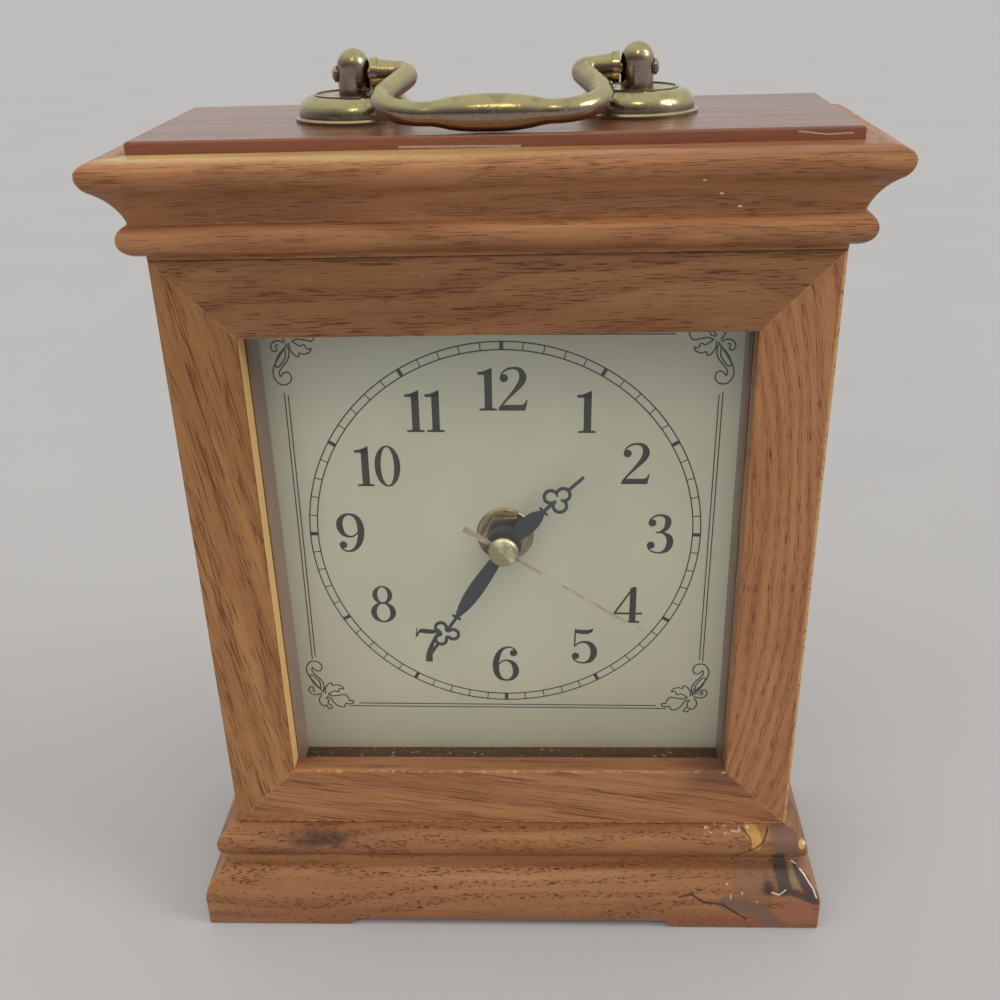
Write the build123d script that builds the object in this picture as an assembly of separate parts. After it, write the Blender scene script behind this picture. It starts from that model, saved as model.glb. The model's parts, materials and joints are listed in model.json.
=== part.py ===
# Wooden desk clock: an oak case with mitred mouldings, a glazed dial, a quartz movement,
# a hinged back door and a swan-neck brass bail handle on top.
#
# Lengths are in millimetres. X runs to the right as one faces the dial, Y runs from the
# front to the back and Z runs up from the table. The pieces are laid out with the front
# face of the dial frame at Y = 0. Each is moved by front_y as it is written, so that the
# origin lies under the centre of the clock's box.
from build123d import *
import math
import os

os.makedirs("parts", exist_ok=True)

quarter_turn = 90
half_turn = 180

# Case
case_width = 177.8
base_height = 34.0
frame_height = 180.3
frieze_height = 8.7
top_board_thickness = 19.8
side_thickness = 12.0
bottom_board_thickness = 9.0
edge_round = 0.8
joint_gap = 0.3
cut_overrun = 5.0

# Dial frame
rail_width = 20.6
lip_thickness = 7.7
rabbet_width = 7.0
glass_thickness = 2.0
glass_play = 0.5
dial_recess = 24.5
dial_thickness = 0.8
dial_play = 0.4
dial_rise = 1.8
backer_thickness = 3.0

# Crown moulding
crown_rise = 1.3
crown_projection = 11.1
crown_height = 24.1
crown_flat = 5.8
crown_nose_drop = 3.1
crown_cove_top = (2.1, 7.2)
crown_cove_hollow = 0.9
crown_cove_height = 8.0
crown_neck = 2.65
crown_bead_top = 8.1
crown_bead_reach = 5.5
crown_bead_level = 4.5
board_lip = 1.0

# Base moulding
base_projection = 11.3
base_inset = 7.7
plinth_height = 10.5
plinth_round = 1.0
ovolo_top_reach = 5.4
ovolo_top_drop = 13.8
base_neck = 3.9
base_bead_foot_drop = 10.2
base_bead_reach = 6.4
base_bead_drop = 5.2
foot_relief = 3.0
front_relief_half = 53.5
side_relief_front = 24.0
side_relief_back = 46.0
base_rail_thickness = 12.0
block_leg = 20.0
block_screw_share = 0.3

# Cleats that hold the dial and its backer in the frame
cleat_width = 7.0
cleat_depth = 8.0
cleat_end_gap = 6.0
cleat_screw_length = 14.0
cleat_screw_share = 0.3

# Wood screws
screw_shank = 2.6
screw_head = 5.2
screw_head_height = 1.6
small_screw_shank = 1.6
small_screw_head = 3.0
small_screw_head_height = 0.9
small_screw_length = 5.0
plinth_screw_length = 38.0
screw_play = 0.03

# Quartz movement
movement_side = 56.0
movement_thickness = 15.5
movement_cover_thickness = 2.0
movement_corner = 4.0
cover_step = 0.6
gasket_side = 50.0
gasket_thickness = 1.0
gasket_hole = 16.0
bush_diameter = 7.8
bush_play = 0.3
bush_reach = 3.6
bush_bore = 5.2
bush_flange_diameter = 13.0
bush_flange_thickness = 1.2
washer_diameter = 17.3
washer_thickness = 0.8
nut_flats = 12.8
nut_thickness = 2.3
battery_diameter = 14.5
battery_length = 50.5
battery_nub_diameter = 5.5
battery_nub_length = 1.0
battery_play = 0.1
bay_length = 53.0
bay_height = 15.4
bay_edge = 2.4
contact_thickness = 0.5
contact_width = 9.0
arbor_chamber = 7.0
arbor_chamber_depth = 9.0
knob_diameter = 14.0
knob_thickness = 4.2
knob_ribs = 24
knob_rib_depth = 0.5
knob_spindle = 3.0
knob_spindle_length = 6.0
knob_offset = 13.0
knob_lift = 0.3

# Hands, measured forward from the dial
running_play = 0.05
hour_pipe_diameter = 5.1
hour_pipe_bore = 3.6
minute_pipe_diameter = 3.5
minute_pipe_bore = 1.3
second_arbor_diameter = 1.2
hour_level = 7.6
minute_level = 10.7
second_level = 12.1
hand_thickness = 0.4
hour_collet_diameter = 10.4
hour_collet_height = 2.6
minute_collet_diameter = 7.4
minute_collet_height = 1.8
collet_ring_share = 0.72
cap_diameter = 8.8
cap_height = 1.3
cap_bevel = 0.5
cap_seat_share = 0.6
pipe_step = 2.0

hour_hand_length = 32.1
hour_cross_radius = 16.1
hour_cross_half = 1.75
hour_body_radius = 9.4
hour_body_half = 2.65
hour_side_lobe = (1.95, 20.8)
hour_top_lobe = 23.9
hour_lobe_radius = 2.45
minute_hand_length = 45.1
minute_cross_radius = 27.3
minute_cross_half = 1.6
minute_body_radius = 12.6
minute_body_half = 2.3
minute_side_lobe = (2.2, 33.0)
minute_top_lobe = 36.6
minute_lobe_radius = 2.15
lobe_line = 0.95
lobe_throat = 1.3
blade_root_share = 0.82
hand_root_half = 1.5
hand_neck_half = 0.5
cross_bar_width = 0.7
tip_width = 0.95
hour_angle = 47.7
minute_angle = 213.4
second_angle = 123.0
second_hand_length = 51.3
second_tail_length = 13.8
second_half_width = 0.45
second_tail_half = 1.0
second_tip_half = 0.25

# Bail handle and its mounts
post_spacing = 74.0
post_y = 34.4
rosette_radius = 16.1
rosette_flange = 0.8
rosette_flange_bevel = 0.5
rosette_shoulder_radius = 15.1
rosette_shoulder_foot = 1.9
rosette_rim_radius = 10.8
rosette_rim_width = 0.7
rosette_recess = 0.3
rosette_height = 6.4
post_diameter = 8.5
post_dome_rise = 1.8
pivot_height = 10.9
stud_diameter = 4.0
stud_length = 29.5
handle_washer_diameter = 11.0
handle_washer_thickness = 1.0
handle_nut_flats = 7.0
handle_nut_thickness = 3.2
journal_radius = 1.7
nub_gap = 0.15
nub_length = 1.1
nub_radius = 2.0
nub_end_share = 0.6
collar_gap = 0.4
collar_length = 1.8
collar_radius = 3.8
cone_length = 4.6
cone_radius = 3.4
arm_radius = 2.8
neck_bend_radius = 3.2
shoulder_bend_radius = 12.0
shoulder_x = 15.6
bail_reach = 31.8
grip_radius = 4.3
grip_taper = (10.5, 3.55)
grip_rest_gap = 0.1

# Back door
door_thickness = 6.0
door_inset = 5.5
door_room = 7.6
door_gap = 0.6
back_rail_height = 14.0
back_rail_thickness = 12.0
hinge_barrel_radius = 2.0
hinge_pin_radius = 0.8
hinge_leaf_thickness = 0.9
hinge_height = 26.0
hinge_leaf_width = 13.0
hinge_clear = 0.1
hinge_knuckle_gap = 0.2
hinge_level_share = 0.22
hinge_screw_spacing = 14.0
leaf_screw_share = 0.6
pull_diameter = 10.0
pull_neck_diameter = 5.0
pull_height = 4.8
pull_base_height = 0.8
pull_neck_height = 1.2
pull_stud_diameter = 2.6
pull_bevel = 1.0
pull_edge = 12.0
catch_length = 24.0
catch_depth = 9.0
catch_width = 8.0
magnet_length = 16.0
magnet_depth = 3.0
catch_plate_thickness = 1.0
catch_gap = 0.3
catch_rise = 26.0
catch_clear = 1.0

# Levels and depths that follow from the sizes above
half_width = case_width / 2
inner_half = half_width - side_thickness
frame_top = base_height + frame_height
frame_middle = base_height + frame_height / 2
case_top = frame_top + frieze_height
board_top = case_top + top_board_thickness
crown_foot = frame_top + crown_rise
crown_head = crown_foot + crown_height
opening_half = half_width - rail_width
opening_foot = base_height + rail_width
opening_head = frame_top - rail_width
rabbet_half = opening_half + rabbet_width
rabbet_foot = opening_foot - rabbet_width
rabbet_head = opening_head + rabbet_width
glass_back = lip_thickness + glass_thickness
dial_back = dial_recess + dial_thickness
frame_thickness = dial_back + backer_thickness
knob_back = frame_thickness + gasket_thickness + movement_thickness + knob_lift + knob_thickness
case_depth = knob_back + door_room + door_thickness + door_inset
dial_centre_z = frame_middle + dial_rise
front_y = (base_projection - case_depth) / 2


def write(node, shape):
    """Write one piece, moved so that the origin is under the middle of the clock."""
    export_step(Pos(0, front_y, 0) * shape, os.path.join("parts", node + ".step"))


def span(x_range, y_range, z_range):
    """A block given by its lowest and highest corners."""
    sizes = [high - low for low, high in (x_range, y_range, z_range)]
    middles = [(low + high) / 2 for low, high in (x_range, y_range, z_range)]
    return Pos(*middles) * Box(*sizes)


def plan_prism(corners, low, high):
    """An upright prism on a plan outline."""
    outline = make_face(Polyline(*corners, close=True))
    return Pos(0, 0, low) * extrude(outline, amount=high - low, dir=(0, 0, 1))


def front_prism(corners, near, far):
    """A prism that runs from front to back on an outline seen from the front."""
    outline = make_face(Polyline(*[(x, 0, z) for x, z in corners], close=True))
    return Pos(0, near, 0) * extrude(outline, amount=far - near, dir=(0, 1, 0))


def rod_y(radius, near, far, x=0, z=0):
    """A round rod that runs from front to back."""
    return Pos(x, (near + far) / 2, z) * Rot(quarter_turn, 0, 0) * Cylinder(radius, far - near)


def rod_x(radius, left, right, y=0, z=0):
    """A round rod that runs from left to right."""
    return Pos((left + right) / 2, y, z) * Rot(0, quarter_turn, 0) * Cylinder(radius, right - left)


def rod_z(radius, low, high, x=0, y=0):
    """An upright round rod."""
    return Pos(x, y, (low + high) / 2) * Cylinder(radius, high - low)


def turned(points):
    """A solid turned about Z from points given as radius and height."""
    outline = make_face(Polyline(*[(r, 0, z) for r, z in points], close=True))
    return revolve(outline, axis=Axis.Z)


def mirrored(shape):
    """The same piece on the other side of the clock."""
    return mirror(shape, about=Plane.YZ)


def screw(shank, head, head_height, length):
    """A countersunk screw with its head's face at Z = 0 and its shank hanging down."""
    outline = [
        (0, 0),
        (head / 2, 0),
        (shank / 2, -head_height),
        (shank / 2, shank / 2 - length),
        (0, -length),
    ]
    return turned(outline)


def screw_hole(shank, head, head_height, length):
    """The hole for a screw, wider than it all round by the play."""
    return screw(shank + 2 * screw_play, head + 2 * screw_play, head_height, length + screw_play)


# Front frame: four mitred rails with a rabbet behind the lip

def frame_bar():
    """A rail section drawn out along X, with its outer edge at Z = 0."""
    section = make_face(
        Polyline(
            (0, 0),
            (frame_thickness, 0),
            (frame_thickness, rail_width - rabbet_width),
            (lip_thickness, rail_width - rabbet_width),
            (lip_thickness, rail_width),
            (0, rail_width),
            close=True,
        )
    )
    section = fillet(section.vertices().group_by(Axis.X)[0], radius=edge_round)
    return extrude(Plane.YZ * section, amount=frame_height, both=True)


def front_frame():
    bar = frame_bar()
    rail_corners = [
        (-half_width, base_height),
        (half_width, base_height),
        (half_width - rail_width, base_height + rail_width),
        (rail_width - half_width, base_height + rail_width),
    ]
    bottom = (Pos(0, 0, base_height) * bar) & front_prism(rail_corners, 0, frame_thickness)
    top = mirror(bottom, about=Plane.XY.offset(frame_middle))
    stile_corners = [
        (-half_width, base_height),
        (rail_width - half_width, base_height + rail_width),
        (rail_width - half_width, frame_top - rail_width),
        (-half_width, frame_top),
    ]
    upright = Pos(-half_width, 0, frame_middle) * Rot(0, quarter_turn, 0) * bar
    left = upright & front_prism(stile_corners, 0, frame_thickness)
    return {
        "front_rail_bottom": bottom,
        "front_rail_top": top,
        "front_stile_left": left,
        "front_stile_right": mirrored(left),
    }


# Mouldings

def crown_profile():
    """The crown's section, with X outwards from the case and Y up from its foot."""
    head = crown_height
    nose = (crown_projection, head - crown_nose_drop)
    cove_top = (crown_projection - crown_cove_top[0], head - crown_cove_top[1])
    cove_foot = (crown_neck, cove_top[1] - crown_cove_height)
    chord = math.dist(cove_top, cove_foot)
    hollow_x = crown_cove_hollow * crown_cove_height / chord
    hollow_y = crown_cove_hollow * (cove_top[0] - crown_neck) / chord
    cove_mid = (
        (cove_top[0] + cove_foot[0]) / 2 - hollow_x,
        (cove_top[1] + cove_foot[1]) / 2 + hollow_y,
    )
    bead = (crown_bead_reach, crown_bead_level)
    bead_head = (crown_neck, crown_bead_top)
    lines = [
        Line((0, 0), (0, head)),
        Line((0, head), (crown_flat, head)),
        EllipticalCenterArc(
            (crown_flat, nose[1]),
            crown_projection - crown_flat,
            crown_nose_drop,
            arc_size=quarter_turn,
        ),
        TangentArc(nose, cove_top, tangent=(0, -1)),
        ThreePointArc(cove_top, cove_mid, cove_foot),
        Line(cove_foot, bead_head),
        TangentArc(bead, bead_head, tangent=(0, 1)),
        EllipticalCenterArc(
            (0, crown_bead_level),
            crown_bead_reach,
            crown_bead_level,
            start_angle=-quarter_turn,
            arc_size=quarter_turn,
        ),
    ]
    return make_face(lines)


def base_profile():
    """The base's section, with X outwards from the case and Y up from the table."""
    edge = (base_projection - plinth_round, 0)
    face_foot = (base_projection, plinth_round)
    face_head = (base_projection, plinth_height)
    ovolo_top = (ovolo_top_reach, base_height - ovolo_top_drop)
    neck_head = (base_neck, base_height - base_bead_foot_drop)
    bead = (base_bead_reach, base_height - base_bead_drop)
    lines = [
        Line((-base_inset, 0), edge),
        TangentArc(edge, face_foot, tangent=(1, 0)),
        Line(face_foot, face_head),
        TangentArc(face_head, ovolo_top, tangent=(0, 1)),
        Line(ovolo_top, (base_neck, ovolo_top[1])),
        Line((base_neck, ovolo_top[1]), neck_head),
        TangentArc(bead, neck_head, tangent=(0, -1)),
        EllipticalCenterArc((0, bead[1]), base_bead_reach, base_bead_drop, arc_size=quarter_turn),
        Line((0, base_height), (-base_inset, base_height)),
        Line((-base_inset, base_height), (-base_inset, 0)),
    ]
    return make_face(lines)


def mitred_mouldings(profile, foot, height, reach, inset):
    """Front, left and right lengths of a moulding, mitred at the two front corners."""
    outward = Plane(origin=(0, 0, foot), x_dir=(0, -1, 0), z_dir=(-1, 0, 0))
    bar = extrude(outward * profile, amount=case_width, both=True)
    outer = half_width + reach
    inner = half_width - inset
    front_corners = [(-outer, -reach), (outer, -reach), (inner, inset), (-inner, inset)]
    front = bar & plan_prism(front_corners, foot, foot + height)
    side_corners = [(-outer, -reach), (-inner, inset), (-inner, case_depth), (-outer, case_depth)]
    side_bar = Pos(-half_width, 0, 0) * Rot(0, 0, -quarter_turn) * bar
    left = side_bar & plan_prism(side_corners, foot, foot + height)
    return front, left, mirrored(left)


def relief(low, high):
    """The outline of the shallow cut between two foot pads, with sloping ends."""
    return [
        (low - foot_relief, -foot_relief),
        (high + foot_relief, -foot_relief),
        (high - foot_relief, foot_relief),
        (low + foot_relief, foot_relief),
    ]


def crown():
    front, left, right = mitred_mouldings(
        crown_profile(), crown_foot, crown_height, crown_projection, 0
    )
    return {
        "crown_moulding_front": front,
        "crown_moulding_left": left,
        "crown_moulding_right": right,
    }


def base():
    front, left, right = mitred_mouldings(
        base_profile(), 0, base_height, base_projection, base_inset
    )
    front -= front_prism(
        relief(-front_relief_half, front_relief_half),
        -base_projection - cut_overrun,
        base_inset + cut_overrun,
    )
    side_outline = [(0, y, z) for y, z in relief(side_relief_front, side_relief_back)]
    side_face = make_face(Polyline(*side_outline, close=True))
    side_cut = extrude(side_face, amount=case_width, both=True)
    rail = span(
        (base_inset - half_width, half_width - base_inset),
        (case_depth - base_rail_thickness, case_depth),
        (foot_relief, base_height),
    )
    return {
        "base_moulding_front": front,
        "base_moulding_left": left - side_cut,
        "base_moulding_right": right - side_cut,
        "base_rail_back": rail,
    }


def block_places():
    """The plinth's inner corners, each with the directions that its block's legs take."""
    corner_x = half_width - base_inset
    back_y = case_depth - base_rail_thickness
    return [
        (-corner_x, base_inset, 1, 1),
        (corner_x, base_inset, -1, 1),
        (-corner_x, back_y, 1, -1),
        (corner_x, back_y, -1, -1),
    ]


def block_screws(make):
    """One upright screw, or its hole, through each plinth block."""
    inward = block_leg * block_screw_share
    pieces = []
    for x, y, toward_x, toward_y in block_places():
        up = Rot(half_turn, 0, 0) * make(
            screw_shank, screw_head, screw_head_height, plinth_screw_length
        )
        pieces.append(Pos(x + toward_x * inward, y + toward_y * inward, foot_relief) * up)
    return pieces


def plinth_blocks():
    blocks = []
    for x, y, toward_x, toward_y in block_places():
        corners = [(x, y), (x + toward_x * block_leg, y), (x, y + toward_y * block_leg)]
        blocks.append(plan_prism(corners, foot_relief, base_height))
    return blocks


# Carcase

def carcase():
    side = span((-half_width, -inner_half), (frame_thickness, case_depth), (base_height, case_top))
    bottom = span(
        (-inner_half, inner_half),
        (frame_thickness, case_depth),
        (base_height, base_height + bottom_board_thickness),
    )
    frieze = span((-half_width, half_width), (0, frame_thickness), (frame_top, case_top))
    rail_back = case_depth - door_inset
    back_rail = span(
        (-inner_half, inner_half),
        (rail_back - back_rail_thickness, rail_back),
        (case_top - back_rail_height, case_top),
    )
    return {
        "side_panel_left": side,
        "side_panel_right": mirrored(side),
        "bottom_board": bottom,
        "frieze_rail": frieze,
        "back_rail_top": back_rail,
    }


def top_board():
    """The board that closes the case, a little wider where it lies over the crown."""
    outer = half_width + board_lip
    board = span((-outer, outer), (0, case_depth), (crown_head, board_top))
    upper = board.edges().group_by(Axis.Z)[-1]
    board = fillet(upper, radius=edge_round)
    board += span((-half_width, half_width), (0, case_depth), (case_top, crown_head))
    for x in (-post_spacing / 2, post_spacing / 2):
        board -= rod_z(stud_diameter / 2 + screw_play, case_top, board_top, x, post_y)
    return board


# Glass, dial and what holds them

def glazing():
    half = rabbet_half - glass_play
    glass = span((-half, half), (lip_thickness, glass_back), (rabbet_foot, rabbet_head - glass_play))
    strip = span((-rabbet_half, -opening_half), (glass_back, dial_recess), (rabbet_foot, rabbet_head))
    return {
        "glass_pane": glass,
        "spacer_strip_left": strip,
        "spacer_strip_right": mirrored(strip),
    }


def dial():
    half = rabbet_half - dial_play
    head = rabbet_head - dial_play
    hole = rod_y(bush_diameter / 2 + bush_play, dial_recess, frame_thickness, 0, dial_centre_z)
    plate = span((-half, half), (dial_recess, dial_back), (rabbet_foot, head)) - hole
    backer = span((-half, half), (dial_back, frame_thickness), (rabbet_foot, head)) - hole
    return {"dial_plate": plate, "dial_backer": backer}


def cleats():
    """Upright strips on the side panels that press the dial and its backer into the frame."""
    strip = span(
        (-inner_half, cleat_width - inner_half),
        (frame_thickness, frame_thickness + cleat_depth),
        (rabbet_foot + cleat_end_gap, rabbet_head - cleat_end_gap),
    )
    return {"dial_cleat_left": strip, "dial_cleat_right": mirrored(strip)}


def cleat_screws(make):
    """The screws, or their holes, that go through the left cleat into the side panel."""
    rise = frame_height * cleat_screw_share
    y = frame_thickness + cleat_depth / 2
    outward = Rot(0, quarter_turn, 0) * make(
        screw_shank, screw_head, screw_head_height, cleat_screw_length
    )
    return [
        Pos(cleat_width - inner_half, y, frame_middle + up * rise) * outward
        for up in (-1, 1)
    ]


# Quartz movement

def movement_levels():
    front = frame_thickness + gasket_thickness
    return front, front + movement_cover_thickness, front + movement_thickness


def rounded_block(side, corner, near, far):
    """A square block with rounded corners, centred on the dial's axis."""
    block = Pos(0, (near + far) / 2, dial_centre_z) * Box(side, far - near, side)
    return fillet(block.edges().filter_by(Axis.Y), radius=corner)


def battery_axis():
    """Depth and height of the battery's axis."""
    cover_back = movement_levels()[1]
    y = cover_back + battery_diameter / 2 + battery_play
    z = dial_centre_z - movement_side / 2 + bay_edge + bay_height / 2
    return y, z


def movement():
    front, cover_back, back = movement_levels()
    shell = rounded_block(movement_side, movement_corner, cover_back, back)
    y, z = battery_axis()
    bay = span(
        (-bay_length / 2, bay_length / 2),
        (cover_back, back),
        (z - bay_height / 2, z + bay_height / 2),
    )
    chamber = rod_y(
        arbor_chamber / 2, cover_back, cover_back + arbor_chamber_depth, 0, dial_centre_z
    )
    spindle_hole = rod_y(
        knob_spindle / 2 + running_play,
        back - knob_spindle_length - knob_lift,
        back,
        0,
        dial_centre_z + knob_offset,
    )
    flange_seat = rod_y(
        bush_flange_diameter / 2, cover_back, cover_back + bush_flange_thickness, 0, dial_centre_z
    )
    case = shell - bay - chamber - spindle_hole - flange_seat
    cover = rounded_block(
        movement_side - 2 * cover_step, movement_corner - cover_step, front, cover_back
    )
    cover -= rod_y(bush_diameter / 2, front, cover_back, 0, dial_centre_z)
    gasket = rounded_block(gasket_side, movement_corner, frame_thickness, front)
    gasket -= rod_y(gasket_hole / 2, frame_thickness, front, 0, dial_centre_z)
    return {"movement_case": case, "movement_cover": cover, "rubber_gasket": gasket}


def bush_and_nut():
    cover_back = movement_levels()[1]
    z = dial_centre_z
    bush = rod_y(bush_diameter / 2, dial_recess - bush_reach, cover_back, 0, z)
    bush += rod_y(bush_flange_diameter / 2, cover_back, cover_back + bush_flange_thickness, 0, z)
    bush -= rod_y(
        bush_bore / 2, dial_recess - bush_reach, cover_back + bush_flange_thickness, 0, z
    )
    washer_front = dial_recess - washer_thickness
    washer = rod_y(washer_diameter / 2, washer_front, dial_recess, 0, z)
    washer -= rod_y(bush_diameter / 2, washer_front, dial_recess, 0, z)
    outer_edge = washer.edges().group_by(Axis.Y)[0].sort_by(SortBy.LENGTH)[-1]
    washer = chamfer(outer_edge, length=washer_thickness / 2)
    nut_front = washer_front - nut_thickness
    nut_outline = Plane.XZ * RegularPolygon(nut_flats / 2, 6, major_radius=False)
    nut = Pos(0, nut_front, z) * extrude(nut_outline, amount=nut_thickness, dir=(0, 1, 0))
    nut -= rod_y(bush_diameter / 2, nut_front, washer_front, 0, z)
    return {"shaft_bush": bush, "dial_washer": washer, "dial_nut": nut}


def battery_set():
    y, z = battery_axis()
    half = battery_length / 2
    body_end = half - battery_nub_length
    battery = rod_x(battery_diameter / 2, -half, body_end, y, z)
    battery = chamfer(battery.edges().filter_by(GeomType.CIRCLE), length=edge_round)
    battery += rod_x(battery_nub_diameter / 2, body_end, half, y, z)
    contacts = []
    for side in (-1, 1):
        outer = side * bay_length / 2
        inner = outer - side * contact_thickness
        plate = span(
            (min(outer, inner), max(outer, inner)),
            (y - contact_width / 2, y + contact_width / 2),
            (z - contact_width / 2, z + contact_width / 2),
        )
        tip = side * half
        plate += rod_x(battery_nub_diameter / 2, min(tip, inner), max(tip, inner), y, z)
        contacts.append(plate)
    return battery, contacts


def set_knob():
    back = movement_levels()[2]
    near = back + knob_lift
    crests = []
    for turn in range(2 * knob_ribs):
        radius = knob_diameter / 2 - knob_rib_depth * (turn % 2)
        angle = math.radians(turn * half_turn / knob_ribs)
        crests.append((radius * math.cos(angle), radius * math.sin(angle)))
    knob = front_prism(crests, near, near + knob_thickness)
    knob += rod_y(knob_spindle / 2, back - knob_spindle_length, near, 0, 0)
    return Pos(0, 0, dial_centre_z + knob_offset) * knob


# Hands. Each is drawn pointing up and is then turned clockwise to its time.

def at_dial(shape, angle):
    """Turn a hand clockwise, as seen from the front, and set it on the dial's axis."""
    return Pos(0, 0, dial_centre_z) * Rot(0, angle, 0) * shape


def hand_sheet(face, level):
    """A flat hand cut from sheet, with its back face at a level in front of the dial."""
    upright = Plane.XZ * face
    return Pos(0, dial_recess - level, 0) * extrude(upright, amount=hand_thickness, dir=(0, -1, 0))


def trefoil(side_lobe, top_lobe, radius, throat):
    """Three discs joined at their middle by straight throats."""
    centres = [(-side_lobe[0], side_lobe[1]), (side_lobe[0], side_lobe[1]), (0, top_lobe)]
    middle = (0, (2 * side_lobe[1] + top_lobe) / 3)
    face = Pos(*middle) * Circle(throat / 2)
    for centre in centres:
        face += Pos(*centre) * Circle(radius)
        face += trace(Line(middle, centre), line_width=throat)
    return face


def pierced_hand(
    length, cross_radius, cross_half, body_radius, body_half, side_lobe, top_lobe, lobe_radius
):
    """A leaf-shaped blade, a cross bar, a pierced trefoil and a narrow tip."""
    right_edge = [
        (hand_root_half, 0),
        (body_half * blade_root_share, body_radius / 2),
        (body_half, body_radius),
        (hand_neck_half, cross_radius),
    ]
    left_edge = [(-x, y) for x, y in reversed(right_edge)]
    blade = make_face(
        [
            Line(left_edge[-1], right_edge[0]),
            Spline(*right_edge),
            Line(right_edge[-1], left_edge[0]),
            Spline(*left_edge),
        ]
    )
    bar = Pos(0, cross_radius) * SlotOverall(2 * cross_half, cross_bar_width)
    stem_head = side_lobe[1]
    stem = Pos(0, (cross_radius + stem_head) / 2) * Rectangle(
        2 * hand_neck_half, stem_head - cross_radius
    )
    tip_foot = top_lobe + lobe_radius - lobe_line
    tip_head = length - tip_width / 2
    tip = Pos(0, (tip_foot + tip_head) / 2) * Rectangle(tip_width, tip_head - tip_foot)
    tip += Pos(0, tip_head) * Circle(tip_width / 2)
    outer = trefoil(side_lobe, top_lobe, lobe_radius, lobe_throat + 2 * lobe_line)
    inner = trefoil(side_lobe, top_lobe, lobe_radius - lobe_line, lobe_throat)
    return blade + bar + stem + tip + outer - inner


def collet(diameter, bore, level, height):
    """The round hub riveted under a hand, with a raised ring on its face."""
    near = dial_recess - level - hand_thickness * 2
    far = dial_recess - level + height
    hub = rod_y(diameter / 2, near + hand_thickness, far)
    hub += rod_y(diameter / 2 * collet_ring_share, near, far)
    return hub - rod_y(bore / 2, near, far)


def pipe(diameter, bore, level, far):
    """A pipe from inside the movement to the front of its hand."""
    near = dial_recess - level - hand_thickness * 2
    return rod_y(diameter / 2, near, far) - rod_y(bore / 2, near, far)


def hands():
    chamber_end = movement_levels()[1] + arbor_chamber_depth
    minute_end = chamber_end - running_play * 2
    hour_end = minute_end - pipe_step
    hour_face = pierced_hand(
        hour_hand_length,
        hour_cross_radius,
        hour_cross_half,
        hour_body_radius,
        hour_body_half,
        hour_side_lobe,
        hour_top_lobe,
        hour_lobe_radius,
    )
    minute_face = pierced_hand(
        minute_hand_length,
        minute_cross_radius,
        minute_cross_half,
        minute_body_radius,
        minute_body_half,
        minute_side_lobe,
        minute_top_lobe,
        minute_lobe_radius,
    )
    hour_face -= Circle(hour_pipe_diameter / 2)
    minute_face -= Circle(minute_pipe_diameter / 2)
    hour_hub = collet(hour_collet_diameter, hour_pipe_diameter, hour_level, hour_collet_height)
    minute_hub = collet(
        minute_collet_diameter, minute_pipe_diameter, minute_level, minute_collet_height
    )
    needle = make_face(
        Polyline(
            (-second_tail_half, -second_tail_length),
            (second_tail_half, -second_tail_length),
            (second_half_width, 0),
            (second_tip_half, second_hand_length),
            (-second_tip_half, second_hand_length),
            (-second_half_width, 0),
            close=True,
        )
    )
    needle = needle + Circle(cap_diameter / 2 * cap_seat_share)
    second = hand_sheet(needle, second_level)
    second += rod_y(second_arbor_diameter / 2, dial_recess - second_level, minute_end)
    cap_back = dial_recess - second_level - hand_thickness
    cap_front = cap_back - cap_height
    cap = rod_y(cap_diameter / 2, cap_front, cap_back)
    cap = chamfer(cap.edges().group_by(Axis.Y)[0], length=cap_bevel)
    hour_pipe = pipe(hour_pipe_diameter, hour_pipe_bore, hour_level, hour_end)
    minute_pipe = pipe(minute_pipe_diameter, minute_pipe_bore, minute_level, minute_end)
    return {
        "hour_hand": at_dial(hand_sheet(hour_face, hour_level) + hour_hub, hour_angle),
        "hour_pipe": at_dial(hour_pipe, hour_angle),
        "minute_hand": at_dial(hand_sheet(minute_face, minute_level) + minute_hub, minute_angle),
        "minute_pipe": at_dial(minute_pipe, minute_angle),
        "second_hand": at_dial(second, second_angle),
        "centre_cap": at_dial(cap, second_angle),
    }


# Bail handle

def rosette():
    """A turned mount: a flange, a round shoulder and a recessed top inside a raised rim."""
    flange_top = rosette_flange + rosette_flange_bevel
    plate = rosette_height - rosette_recess
    lines = [
        Line((0, 0), (rosette_radius, 0)),
        Line((rosette_radius, 0), (rosette_radius, rosette_flange)),
        Line(
            (rosette_radius, rosette_flange),
            (rosette_radius - rosette_flange_bevel, flange_top),
        ),
        Line(
            (rosette_radius - rosette_flange_bevel, flange_top),
            (rosette_shoulder_radius, flange_top),
        ),
        Line(
            (rosette_shoulder_radius, flange_top),
            (rosette_shoulder_radius, rosette_shoulder_foot),
        ),
        EllipticalCenterArc(
            (rosette_rim_radius, rosette_shoulder_foot),
            rosette_shoulder_radius - rosette_rim_radius,
            plate - rosette_shoulder_foot,
            arc_size=quarter_turn,
        ),
        Line((rosette_rim_radius, plate), (rosette_rim_radius, rosette_height)),
        Line(
            (rosette_rim_radius, rosette_height),
            (rosette_rim_radius - rosette_rim_width, rosette_height),
        ),
        Line(
            (rosette_rim_radius - rosette_rim_width, rosette_height),
            (rosette_rim_radius - rosette_rim_width, plate),
        ),
        Line((rosette_rim_radius - rosette_rim_width, plate), (0, plate)),
        Line((0, plate), (0, 0)),
    ]
    body = revolve(Plane.XZ * make_face(lines), axis=Axis.Z)
    return body - rod_z(stud_diameter / 2 + screw_play, 0, rosette_height)


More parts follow.
